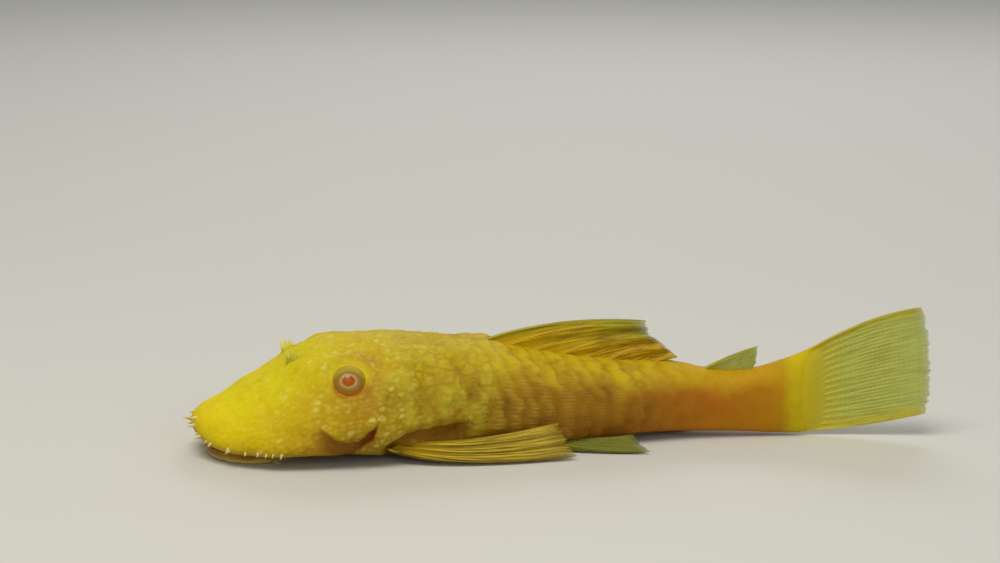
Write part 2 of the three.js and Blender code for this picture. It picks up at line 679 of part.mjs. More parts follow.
const fish = new THREE.Group();
function addNode(name, solid, material) {
  const mesh = new THREE.Mesh(place(geometryOf(settled(solid.subtract(floor)))), material);
  mesh.name = name;
  fish.add(mesh);
}

const torsoStart = HEAD_END + GAP;
const tailStart = TORSO_END + GAP + 0.1;
const grownHead = headShell(GAP);
const grownTorso = platedShell(torsoStart, TORSO_END + 3, GAP);
const grownTail = platedShell(TORSO_END, STANDARD_LENGTH, GAP);
const grownBody = [grownHead, grownTorso, grownTail];
const clearOfBody = (solid) => largest(grownBody.reduce((rest, part) => rest.subtract(part), solid));

addNode("head", headSolid(), lemonSkin);
addNode("torso", platedShell(torsoStart, TORSO_END), goldSkin);
addNode("tail", platedShell(tailStart, STANDARD_LENGTH), goldSkin);
addNode("mouth_disc", mouthSolid(), lipSkin);
addNode("dorsal_fin", clearOfBody(dorsalFin()), finWeb);
addNode("adipose_fin", clearOfBody(adiposeFin()), finWeb);
addNode("tail_fin", tailFin(), finWeb);
addNode("anal_fin", clearOfBody(analFin()), finWeb);
for (const [side, word] of [[LEFT, "left"], [RIGHT, "right"]]) {
  addNode(`eye_${word}`, eyeSolid(side), eyeGloss);
  addNode(`gill_cover_${word}`, gillCover(side), lemonSkin);
  addNode(`pectoral_fin_${word}`, clearOfBody(pectoralFin(side)), finWeb);
  addNode(`pelvic_fin_${word}`, clearOfBody(pelvicFin(side)), finWeb);
}

export default fish;
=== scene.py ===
"""A golden bristlenose pleco, life size, resting on a pale floor: the looks around its solid model."""

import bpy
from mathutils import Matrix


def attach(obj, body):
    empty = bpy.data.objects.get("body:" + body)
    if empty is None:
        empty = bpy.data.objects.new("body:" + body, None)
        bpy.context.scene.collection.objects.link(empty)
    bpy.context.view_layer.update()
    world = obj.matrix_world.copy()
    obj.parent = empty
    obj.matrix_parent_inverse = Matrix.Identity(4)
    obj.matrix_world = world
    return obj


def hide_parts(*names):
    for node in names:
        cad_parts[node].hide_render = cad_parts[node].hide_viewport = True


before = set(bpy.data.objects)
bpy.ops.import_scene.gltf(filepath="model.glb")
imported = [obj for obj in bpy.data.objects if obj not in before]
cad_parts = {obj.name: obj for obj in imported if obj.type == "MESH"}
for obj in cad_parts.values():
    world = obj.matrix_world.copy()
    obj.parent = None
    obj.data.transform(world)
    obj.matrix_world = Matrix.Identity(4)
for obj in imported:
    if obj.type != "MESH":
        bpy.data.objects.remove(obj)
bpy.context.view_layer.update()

import math
import random

import bmesh
import bpy
import numpy as np
from mathutils import Matrix, Vector

# Lengths are in millimetres until a piece is bowed, and in metres from then on.
MM = 0.001
DEG = math.pi / 180
LEFT, RIGHT = -1, 1
SIDES = ((LEFT, "left"), (RIGHT, "right"))

# The body's own sizes, as in the solid model.
SNOUT_TIP = 1.3
SNOUT_END = 26
SNOUT_ROUNDNESS = 2.2
MAX_HALF_WIDTH = 15
STANDARD_LENGTH = 100
PLATE_COUNT = 24
PLATE_ROWS = 5
PLATE_RISE = 0.42
PLATE_SLANT = 5.0
PLATE_BULGE = 0.62
PLATES_START = 30.3
PLATE_PITCH = (STANDARD_LENGTH - PLATES_START) / PLATE_COUNT
EYE_S, EYE_ANGLE = 25.3, 41
EYE_RADIUS, EYE_DEPTH, EYE_SINK = 2.9, 1.9, 0.75
BROW_LEAD = 0.7
EYE_TILT, EYE_TURN = 36, 8
GAZE_DROP = 0.2
NOSTRIL_S, NOSTRIL_ANGLE = 17, 75
BOW, BOW_S = 5, 56
ORIGIN_S, ORIGIN_Y = 60.3, 4.2
# Fin edges stay this far above the floor.
FIN_CLEARANCE = 0.02


# Curves and patterns --------------------------------------------------------

def through(*stations):
    """A smooth curve through (place, value) stations that never overshoots them."""
    x, y = np.array(stations, float).T
    width = np.diff(x)
    slope = np.diff(y) / width
    slopes = np.concatenate([slope[:1], np.zeros(len(x) - 2), slope[-1:]])
    for i in range(1, len(x) - 1):
        a, b = slope[i - 1], slope[i]
        if a * b > 0:
            wa, wb = 2 * width[i] + width[i - 1], width[i] + 2 * width[i - 1]
            slopes[i] = (wa + wb) / (wa / a + wb / b)

    def curve(place):
        i = np.clip(np.searchsorted(x, place, side="right") - 1, 0, len(x) - 2)
        t = np.clip((place - x[i]) / width[i], 0, 1)
        rise = t * t * (3 - 2 * t)
        return (y[i] * (1 - rise) + y[i + 1] * rise
                + width[i] * t * (1 - t) * (slopes[i] * (1 - t) - slopes[i + 1] * t))
    return curve


def smooth(low, high, x):
    """0 at low, 1 at high and eased between them; low may be the larger number."""
    t = np.clip((x - low) / (high - low), 0, 1)
    return t * t * (3 - 2 * t)


def mix(a, b, t):
    """a where t is 0, b where t is 1."""
    return a + (b - a) * t


def hump(x, width):
    """1 at 0, and close to 0 from twice the width on."""
    return np.exp(-(x / width) ** 2)


def lumps(points, size, seed):
    """Smooth random hills between -1 and 1, about size apart."""
    place = points / size
    cell = np.floor(place).astype(np.int64)
    part = place - cell
    part = part * part * (3 - 2 * part)
    total = np.zeros(len(points))
    for corner in np.ndindex(2, 2, 2):
        key = ((cell + corner) * (73856093, 19349663, 83492791)).sum(-1) + seed * 7919
        key = ((key ^ (key >> 13)) * 1274126177) & 0xFFFFFFFF
        value = ((key ^ (key >> 16)) & 0xFFFF) / 0xFFFF
        total += value * np.prod(np.where(corner, part, 1 - part), -1)
    return 2 * total - 1


def beside(points, path):
    """How far each (s, z) point is from a path, positive above it, and how far along the path it lies."""
    path = np.array(path, float)
    best = np.full(len(points), 1e9)
    above = np.zeros(len(points))
    along = np.zeros(len(points))
    for i, (a, b) in enumerate(zip(path, path[1:])):
        run = b - a
        t = np.clip(((points - a) @ run) / (run @ run), 0, 1)
        off = points - (a + t[:, None] * run)
        distance = np.hypot(*off.T)
        nearer = distance < best
        best = np.where(nearer, distance, best)
        above = np.where(nearer, np.sign(run[0] * off[:, 1] - run[1] * off[:, 0]), above)
        along = np.where(nearer, (i + t) / (len(path) - 1), along)
    return best * above, along


# The body's shape -----------------------------------------------------------

back_line = through(
    (SNOUT_TIP, 5.2), (1.45, 6.2), (2, 6.9), (3, 7.6), (6.1, 8.9), (10, 11.3), (13, 13.0), (15.5, 14.5),
    (18, 16.2), (23, 17.8), (30, 18.2), (41, 17.2), (47.5, 16.8), (54, 15.2), (62, 13.6), (74, 12.4),
    (80, 12.1), (84, 11.3), (88, 10.8), (91, 10.9), (93.5, 11.4), (97, 12.6), (100, 13.8), (104, 16.0))
belly_line = through(
    (SNOUT_TIP, 5.2), (1.5, 4.1), (2, 3.3), (3.1, 2.4), (5.2, 1.7), (8, 1.3), (12, 1.2), (24, 1.0), (33, 0),
    (60, 0), (68, 0.5), (80, 0.7), (90, 0.6), (96, 0.4), (100, 0.4), (104, 1.1))
widest_line = through(
    (SNOUT_TIP, 5.2), (2, 4.5), (3.3, 3.9), (5, 3.7), (12, 3.9), (20, 4.7), (30, 6.0), (45, 6.5), (60, 5.8),
    (75, 6), (90, 5.8), (100, 7), (104, 8.5))
trunk_half_width = through(
    (SNOUT_END, MAX_HALF_WIDTH), (35, 14.3), (41, 13.4), (48, 12.4), (56, 11), (65, 8.8), (74, 6.4),
    (84, 4.3), (93, 3.1), (100, 2.2), (101, 1.75), (102, 1.1), (103, 0.36), (104, 0.05))
upper_power = through((0, 2), (10, 1.85), (30, 1.85), (42, 2.05), (100, 2.1))
lower_power = through((0, 2), (8, 3), (65, 3), (80, 2.2), (100, 2.2))
plate_edge_angle = through((30, -4), (48, -8), (58, -30), (70, -50), (100, -60))


def half_width(s):
    """Half the body's width: a round snout, then the trunk."""
    back = 1 - np.clip(s - SNOUT_TIP, 0, None) / (SNOUT_END - SNOUT_TIP)
    snout = MAX_HALF_WIDTH * (1 - np.clip(back, 0, 1) ** SNOUT_ROUNDNESS) ** (1 / SNOUT_ROUNDNESS)
    return np.where(s >= SNOUT_END, trunk_half_width(s), snout)


def skin_point(s, angle, side, lift=0.0):
    """A point of the skin: angle is -90 on the belly, 0 at the widest line and 90 on the back."""
    s, angle, side, lift = np.broadcast_arrays(*(np.asarray(x, float) for x in (s, angle, side, lift)))
    up = angle > 0
    power = 2 / np.where(up, upper_power(s), lower_power(s))
    middle = widest_line(s)
    reach = np.where(up, back_line(s) - middle, middle - belly_line(s)) + lift
    across = np.clip(np.cos(angle * DEG), 0, None) ** power
    rise = np.abs(np.sin(angle * DEG)) ** power
    height = middle + np.where(up, reach, -reach) * rise
    return np.stack([s, side * (half_width(s) + lift) * across, height], -1)


def skin_normal(s, angle, side):
    """The way that the bare skin faces at one point."""
    step = 0.4
    along = skin_point(s + step, angle, side) - skin_point(s - step, angle, side)
    around = skin_point(s, angle + step, side) - skin_point(s, angle - step, side)
    out = np.cross(around, along) * side
    return out / np.linalg.norm(out)


def bowed(points):
    """Points of the straight fish, bowed sideways and moved to the model's origin, in metres."""
    s, across, height = points.T
    bend = 2 * BOW / BOW_S ** 2
    heading = np.arctan(bend * (BOW_S - s))
    shortening = bend ** 2 / 6 * ((s - BOW_S) ** 3 + BOW_S ** 3)
    bow = BOW * (1 - ((s - BOW_S) / BOW_S) ** 2)
    x = s - shortening - across * np.sin(heading) - ORIGIN_S
    y = bow + across * np.cos(heading) - ORIGIN_Y
    return np.stack([x, y, height], -1) * MM


# Nodes and pieces -----------------------------------------------------------

def shade(code):
    """A linear colour from an sRGB hex value."""
    parts = [int(code[i:i + 2], 16) / 255 for i in (1, 3, 5)]
    return (*(x / 12.92 if x <= 0.04045 else ((x + 0.055) / 1.055) ** 2.4 for x in parts), 1.0)


def wire(tree, node, inputs):
    """Gives a node's inputs their values or links."""
    for name, value in inputs.items():
        if isinstance(value, bpy.types.NodeSocket):
            tree.links.new(value, node.inputs[name])
        else:
            node.inputs[name].default_value = value


def add(tree, kind, inputs=None, ramp=(), out=0, **settings):
    """Adds a node with its settings, its inputs' values or links and its colour ramp; returns one output."""
    node = tree.nodes.new("ShaderNode" + kind)
    for name, value in settings.items():
        setattr(node, name, value)
    wire(tree, node, inputs or {})
    if ramp:
        stops = node.color_ramp.elements
        stops.remove(stops[1])
        stops[0].position, stops[0].color = ramp[0][0], shade(ramp[0][1])
        for place, colour in ramp[1:]:
            stops.new(place).color = shade(colour)
    return node.outputs[out]


# Settings that many nodes share: a range that eases in and out, and a mix of two colours.
EASED = {"interpolation_type": "SMOOTHSTEP"}
COLOURS = {"data_type": "RGBA", "out": 2}


def material(name, values):
    """A new material whose shader has the given values; returns it with its node tree and its shader."""
    made = bpy.data.materials.new(name)
    made.use_nodes = True
    shader = made.node_tree.nodes["Principled BSDF"]
    wire(made.node_tree, shader, values)
    return made, made.node_tree, shader


def piece(name, bm, finish, replaces=(), marks=None):
    """Makes a bmesh a smooth, closed object that rides with the fish."""
    bmesh.ops.recalc_face_normals(bm, faces=bm.faces)
    mesh = bpy.data.meshes.new(name)
    bm.to_mesh(mesh)
    bm.free()
    mesh.shade_smooth()
    for mark, values in (marks or {}).items():
        values = np.asarray(values, np.float32)
        kind, key = ("FLOAT", "value") if values.ndim == 1 else ("FLOAT_VECTOR", "vector")
        mesh.attributes.new(mark, kind, "POINT").data.foreach_set(key, values.ravel())
    mesh.materials.append(finish)
    made = bpy.data.objects.new(name, mesh)
    bpy.context.scene.collection.objects.link(made)
    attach(made, "root")
    if replaces:
        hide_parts(*replaces)
    return made


def corners(bm):
    return np.array([v.co[:] for v in bm.verts])


def move_to(bm, places):
    for vertex, place in zip(bm.verts, places):
        vertex.co = place


# Camera, floor and light ----------------------------------------------------

CAMERA_PLACE = ((18.3 - ORIGIN_S) * MM, (-369.3 - ORIGIN_Y) * MM, 117.5 * MM)
CAMERA_YAW, CAMERA_PITCH = 4.99 * DEG, 13.68 * DEG
CAMERA_LENS = 86.4
# Half the floor's side, in metres.
FLOOR_REACH = 4
# Each light's name, place and two sides in metres, power in watts and colour.
LIGHTS = [
    ("key_light", (-0.14, -0.20, 0.56), (0.40, 0.26), 2.3, "#FFF8E8"),
    ("fill_light", (0.30, -0.50, 0.24), (0.4, 0.3), 0.55, "#F4F8FF"),
    ("back_light", (0.10, 0.46, 0.34), (0.4, 0.2), 0.7, "#FFFFFF"),
]


def make_camera():
    camera = bpy.data.objects.new("camera", bpy.data.cameras.new("camera"))
    camera.data.lens = CAMERA_LENS
    camera.data.sensor_width = 36
    camera.data.clip_start = 0.01
    camera.location = CAMERA_PLACE
    ahead = Vector((math.sin(CAMERA_YAW) * math.cos(CAMERA_PITCH),
                    math.cos(CAMERA_YAW) * math.cos(CAMERA_PITCH), -math.sin(CAMERA_PITCH)))
    camera.rotation_mode = "QUATERNION"
    camera.rotation_quaternion = ahead.to_track_quat("-Z", "Y")
    bpy.context.scene.collection.objects.link(camera)
    bpy.context.scene.camera = camera


def make_light(name, place, size, power, colour):
    light = bpy.data.lights.new(name, "AREA")
    light.shape = "RECTANGLE"
    light.size, light.size_y = size
    light.energy = power
    light.color = shade(colour)[:3]
    lamp = bpy.data.objects.new(name, light)
    lamp.location = place
    lamp.rotation_mode = "QUATERNION"
    lamp.rotation_quaternion = (-Vector(place)).to_track_quat("-Z", "Y")
    bpy.context.scene.collection.objects.link(lamp)


def make_studio():
    bm = bmesh.new()
    bmesh.ops.create_grid(bm, x_segments=1, y_segments=1, size=FLOOR_REACH)
    mesh = bpy.data.meshes.new("floor")
    bm.to_mesh(mesh)
    bm.free()
    # Pale card: matt and even, so that the fish alone takes the eye.
    mesh.materials.append(material("pale_card", {
        "Base Color": shade("#D3D3CE"), "Roughness": 0.75, "Specular IOR Level": 0.2})[0])
    floor = bpy.data.objects.new("floor", mesh)
    bpy.context.scene.collection.objects.link(floor)
    world = bpy.data.worlds.new("studio")
    world.use_nodes = True
    wire(world.node_tree, world.node_tree.nodes["Background"], {"Color": shade("#F2F3F1"), "Strength": 0.32})
    bpy.context.scene.world = world
    for light in LIGHTS:
        make_light(*light)
    bpy.context.scene.view_settings.view_transform = "Standard"
    bpy.context.scene.view_settings.look = "None"


# Skin: relief ---------------------------------------------------------------

RINGS = 404
AROUND = 236
OUTLINE_STEPS = 721
SKIN_END = 104.0
# How densely the rings lie along the body, against s.
ring_density = through((SNOUT_TIP, 9), (2, 5), (8, 3.7), (16, 3.8), (22, 4.4), (30, 4.4), (34, 4.2),
                       (70, 3.6), (88, 2.8), (SKIN_END, 3.4))

# Paths on the flank, as (s, z): the edge of the gill cover, of the shoulder behind it, and of the fold over
# the pectoral fin.
COVER_EDGE = [(19.0, 8.2), (20.2, 7.2), (21.2, 6.4), (22.8, 5.4), (24.9, 4.8), (26.3, 5.0), (27.2, 5.5),
              (27.8, 6.3), (28.9, 6.9), (29.7, 7.8), (30.0, 9.4)]
SHOULDER_EDGE = [(25.7, 2.0), (26.2, 3.0), (27.4, 3.9), (28.7, 4.6), (29.3, 5.9), (29.7, 7.4), (29.9, 8.4)]
FLANK_FOLD = [(29.0, 2.4), (30.0, 3.3), (32.0, 4.6), (34.2, 5.8), (37.1, 6.1), (40.6, 6.3), (42.6, 6.8),
              (46.5, 7.2)]
# Heights and depths of the relief.
KNOB_SIZE, KNOB_RISE = 2.7, 0.6
EYE_RIM_RISE, EYE_SOCKET_DEPTH = 1.45, 1.2
COVER_RISE, BEHIND_COVER_DEPTH, OPENING_DEPTH, SHOULDER_RISE = 0.34, 0.3, 0.75, 0.3
FOLD_RISE, HOLLOW_DEPTH = 0.35, 1.9
NOSTRIL_OFFSETS, NOSTRIL_DEPTH = (-1.1, 1.0), 0.35


def plate_columns(s, angle):
    """Each point's place among the plates: its column along the body, and its row, both counted in plates."""
    # Seen from the side, columns run straight up at an angle of 14 and lean forward above and below it.
    strength = smooth(29, 46, s) * (1 - smooth(90, 99, s)) * (1 - 0.35 * smooth(60, 90, s))
    off = angle - 14
    above = np.clip(off, 0, None) / 76
    below = np.clip(-off / 60, 0, 1)
    slant = -PLATE_SLANT * strength * (above + 0.25 * below)
    edge = plate_edge_angle(s)
    row = (angle - edge) / (90 - edge) * PLATE_ROWS
    within = row - np.floor(row)
    bulge = PLATE_BULGE * (1 - (2 * within - 1) ** 2)
    column = (s - slant - bulge - PLATES_START) / PLATE_PITCH
    return column, row


def eye_frame(side):
    """The eye's middle, where it looks, and its up and forward directions."""
    up, turn = EYE_TILT * DEG, EYE_TURN * DEG
    look = np.array([-math.sin(turn) * math.cos(up), side * math.cos(turn) * math.cos(up), math.sin(up)])
    middle = skin_point(EYE_S, EYE_ANGLE, side) - EYE_SINK * look
    top = np.array([0, 0, 1]) - look[2] * look
    top /= np.linalg.norm(top)
    return middle, look, top, np.cross(top, look)


def skin_relief(s, angle, side):
    """How far each skin point stands out, in millimetres, and the marks that its colours read."""
    bare = skin_point(s, angle, side)
    flat = bare[:, [0, 2]]
    z = bare[:, 2]
    on_flank = smooth(-75, -50, angle) * (1 - smooth(35, 55, angle))

    # Plates: low in front, high at the rear edge, sunk at the borders of their row, and no two quite alike.
    column, row = plate_columns(s, angle)
    column = column + 0.2 * lumps(bare, 3.0, 21) + 0.08 * lumps(bare, 0.9, 22)
    row = row + 0.2 * lumps(bare, 3.2, 23)
    phase = column - np.floor(column)
    within = row - np.floor(row)
    # They begin behind the shoulder, grow faint low on the flank and fade towards the tail fin.
    plated = smooth(-0.02, 0.12, row) * smooth(36, 46 + 5 * smooth(0, 60, angle), s)
    plated *= (1 - smooth(95.5, 100, s)) * (1 - 0.92 * smooth(70, 87, s))
    plated *= 1 - 0.55 * smooth(54, 68, s) * (1 - smooth(15, 45, angle))
    crown = 1 - 0.4 * np.abs(2 * within - 1) ** 3
    ramp = (0.15 + 0.85 * phase ** 0.8) * (1 - smooth(0.74, 0.995, phase))
    plate = PLATE_RISE * plated * ramp * crown * (1 + 0.35 * lumps(bare, 4.0, 24))
    seam = plated * np.maximum(hump(phase - 1.0, 0.09) + hump(phase, 0.16), 0.3 * (1 - crown))

    # Soft knobs over the shoulder, where the plates are still short and round.
    shoulder = smooth(27, 33, s) * (1 - smooth(44, 55, s)) * smooth(-30, 0, angle)
    knobs = lumps(bare, KNOB_SIZE, 3)
    knobbed = shoulder * (1 - 0.5 * smooth(40, 80, angle))
    lift = plate + knobbed * (KNOB_RISE * knobs + 0.15 * lumps(bare, 1.0, 4))
    lift += 0.05 * plated * lumps(bare * (1, 2, 2), 1.1, 7)

    # Head: low swellings, and fine folds that run back from the snout.
    head = 1 - smooth(28, 32, s)
    folds = 0.15 * lumps(bare, 3.2, 5) + 0.09 * lumps(bare * (1, 2.4, 2.4), 1.5, 6)
    lift += head * folds * smooth(SNOUT_TIP, 5.0, s)

    # Raised rim of each eye, steep on the inside and broad on the outside.
    brow = skin_point(EYE_S - BROW_LEAD, EYE_ANGLE, side)
    spot = skin_point(EYE_S, EYE_ANGLE, side)
    away = np.linalg.norm(bare - spot, axis=1)
    outer = hump(np.clip(np.linalg.norm(bare - brow, axis=1) - 3.6, 0, None), 1.8)
    inner = smooth(2.4, 5.2, away)
    over = 0.5 + 0.5 * np.clip((z - spot[:, 2]) / 2, -1, 1)
    lift += EYE_RIM_RISE * over * outer * inner - EYE_SOCKET_DEPTH * (1 - smooth(1.5, 2.5, away))

    # Gill cover: its lower and rear edge stands over the gill opening, and the shoulder begins behind that.
    near, along = beside(flat, COVER_EDGE)
    near = near + 0.16 * lumps(bare, 1.1, 25) * smooth(0.1, 0.3, along)
    ends = smooth(0.04, 0.2, along) * (1 - smooth(0.88, 1.0, along)) * on_flank
    behind, behind_along = beside(flat, SHOULDER_EDGE)
    behind = behind + 0.12 * lumps(bare, 1.0, 26)
    under = ends * smooth(0.0, 0.45, -near) * smooth(-0.1, 0.5, behind)
    under *= 1 - smooth(0.82, 1.0, behind_along)
    # This mask also paints dark red-brown shade into the gill opening's colour.
    opening = under * smooth(0.36, 0.6, along) * hump(np.clip(behind - 0.5, 0, None), 1.9)
    lift += COVER_RISE * ends * np.where(near > 0, hump(near, 3.4), 1 - smooth(0, 0.4, -near))
    lift -= BEHIND_COVER_DEPTH * under * (1 - smooth(1.0, 3.0, -near)) + OPENING_DEPTH * opening
    ridge = on_flank * hump(np.clip(-behind - 0.5, 0, None), 1.4) * smooth(0.0, 0.4, -behind)
    lift += SHOULDER_RISE * ridge * smooth(0.05, 0.3, behind_along) * (1 - smooth(0.85, 1.0, behind_along))
    # This mask paints the shade under the gill cover's edge, orange brown, into the skin's colour.
    shade_under_cover = on_flank * (1 - smooth(4.4, 5.8, z)) * smooth(18.5, 23.5, s) * (1 - smooth(29, 30, s))
    shade_under_cover *= smooth(0.1, -0.4, near) * smooth(-0.2, 0.3, behind)

    # The flank folds over a hollow above the pectoral fin.
    fold, fold_along = beside(flat, FLANK_FOLD)
    fold = fold + 0.12 * lumps(bare, 1.4, 27)
    reach = smooth(0.02, 0.2, fold_along) * (1 - smooth(0.8, 1.0, fold_along)) * on_flank
    # This mask also paints the hollow's shade, dark orange, into the skin's colour.
    hollow = reach * smooth(0.0, 0.9, -fold) * hump(np.clip(-fold - 1.5, 0, None), 1.6)
    lift += FOLD_RISE * reach * hump(fold - 0.9, 1.0) - HOLLOW_DEPTH * hollow

    # Nostril pits.
    for off in NOSTRIL_OFFSETS:
        for flank in (LEFT, RIGHT):
            pit = np.linalg.norm(bare - skin_point(NOSTRIL_S + off, NOSTRIL_ANGLE, flank), axis=1)
            lift -= NOSTRIL_DEPTH * (1 - smooth(0.3, 0.8, pit))

    # Height is 0 on the belly line and 1 on the back line; they meet at the tip of the snout, where it is 0.5.
    middle, depth = (back_line(s) + belly_line(s)) / 2, back_line(s) - belly_line(s)
    height = np.clip(0.5 + (z - middle) / np.maximum(depth, 1e-6), 0, 1)
    marks = {
        "s_place": s / STANDARD_LENGTH,
        "height": height - 0.12 * hump(s - 60, 9),
        "seam": np.clip(seam, 0, 1),
        "column": column,
        "plated": plated,
        "shoulder": shoulder * smooth(29, 36, s) * (1 - 0.5 * smooth(50, 85, angle)),
        "knob": shoulder * smooth(-0.1, 0.6, knobs),
        "gill": np.clip(opening, 0, 1),
        "shade_under_cover": np.clip(shade_under_cover + 0.8 * under * (1 - smooth(0.8, 3.4, -near)), 0, 1),
        "hollow": np.clip(hollow, 0, 1),
        "eye_away": away,
        "under_eye": smooth(0.4, -0.6, (z - spot[:, 2]) / 2),
    }
    return lift, marks


def make_skin(finish):
    """One skin over head, gill covers, trunk and tail: a ball drawn out along the body, with its relief."""
    bm = bmesh.new()
    bmesh.ops.create_uvsphere(bm, u_segments=AROUND, v_segments=RINGS, radius=1)
    ball = corners(bm)
    ring = np.rint(np.arccos(np.clip(ball[:, 2], -1, 1)) / math.pi * RINGS).astype(int)
    turn = np.rint(np.arctan2(ball[:, 1], ball[:, 0]) / (2 * math.pi) * AROUND).astype(int) % AROUND

    lengthwise = np.linspace(SNOUT_TIP, SKIN_END, 4000)
    count = np.concatenate([[0], np.cumsum(ring_density(lengthwise))[:-1]])
    stations = np.interp(np.linspace(0, count[-1], RINGS + 1), count, lengthwise)
    # Around each ring the points lie evenly, and more openly under the belly.
    angles = np.linspace(-90, 90, OUTLINE_STEPS)
    weights = 0.35 + 0.65 * smooth(-60, -20, angles)
    half = AROUND // 2
    table = np.zeros((RINGS + 1, half + 1))
    for i, s in enumerate(stations):
        outline = skin_point(s, angles, RIGHT)
        steps = np.linalg.norm(np.diff(outline, axis=0), axis=1) * (weights[1:] + weights[:-1])
        run = np.concatenate([[0], np.cumsum(steps)])
        if run[-1] <= 1e-6:
            run = np.linspace(0, 1, OUTLINE_STEPS)
        table[i] = np.interp(np.linspace(0, run[-1], half + 1), run, angles)
    side = np.where(turn <= half, LEFT, RIGHT).astype(float)
    column = np.where(turn <= half, turn, AROUND - turn)
    angle = table[ring, column]
    s = stations[ring]

    lift, marks = skin_relief(s, angle, side)
    settle = smooth(SNOUT_TIP, SNOUT_TIP + 0.5, s)
    places = skin_point(s, angle, side, lift * settle)
    places[ring == RINGS] = (SKIN_END + 0.05, 0, widest_line(SKIN_END))
    places[:, 2] = np.maximum(places[:, 2], 0.0)
    move_to(bm, bowed(places))
    # The way round the trunk from the belly, in millimetres, so that ridges on the plates lie evenly.
    outline = np.linalg.norm(np.diff(skin_point(60, angles, RIGHT), axis=0), axis=1)
    marks["around"] = np.interp(angle, angles, np.concatenate([[0], np.cumsum(outline)]))
    return piece("skin", bm, finish, ("head", "torso", "tail", "gill_cover_left", "gill_cover_right"),
                 marks)


# Ground colours from snout to tail fin: along the back, along the middle of the flank and along its foot.
# Lower down they are darker, partly the fish's own orange and partly painted shade for the underside, kept
# dark against light from the floor.
BACK_COLOURS = [
    (0.00, "#E0C700"), (0.06, "#E3D200"), (0.16, "#D6C808"), (0.26, "#C7B014"), (0.34, "#C2A914"),
    (0.50, "#CBB210"), (0.70, "#C9B214"), (0.86, "#C39A0E"), (0.95, "#C29808"), (0.972, "#C09A08"),
    (0.99, "#CCB60C")]
FLANK_COLOURS = [
    (0.00, "#DDC000"), (0.06, "#E0CA00"), (0.16, "#CAB004"), (0.22, "#BE9E0C"), (0.26, "#AF8E10"),
    (0.34, "#AA9014"), (0.43, "#A68A12"), (0.51, "#94700C"), (0.70, "#986A0A"), (0.86, "#B06A0A"),
    (0.945, "#B67C08"), (0.972, "#B88606"), (0.99, "#CCB40C")]
SHADED_FOOT_COLOURS = [
    (0.00, "#D0AC00"), (0.06, "#D2B200"), (0.16, "#C49E04"), (0.22, "#A48008"), (0.26, "#93700C"),
    (0.34, "#947A10"), (0.43, "#9C8012"), (0.51, "#966A0C"), (0.70, "#9F610C"), (0.86, "#BE7C08"),
    (0.945, "#C08406"), (0.972, "#BC8806"), (0.99, "#CCB40C")]
# Where each look begins and ends, in shares of the standard length, and how strong it is at both places.
ALONG_BODY = {
    "snout": (0.22, 0.15, 0.0, 1.0), "off_snout": (0.11, 0.20, 0.25, 1.0), "cheek": (0.02, 0.15, 0.0, 1.0),
    "behind_eye": (0.235, 0.285, 0.0, 1.0), "nape": (0.45, 0.30, 0.0, 1.0), "fore": (0.46, 0.30, 0.0, 1.0),
    "trunk": (0.24, 0.46, 0.25, 0.75), "rearward": (0.70, 0.84, 1.0, 0.35)}
# Pale grains: how many lie on a metre, how uneven they are, and where in its cell a grain ends and is full.
GRAINS = {
    "large": (560.0, 0.22, 0.43, 0.27), "middling": (800.0, 0.3, 0.47, 0.29),
    "fine": (1400.0, 0.0, 0.65, 0.2)}


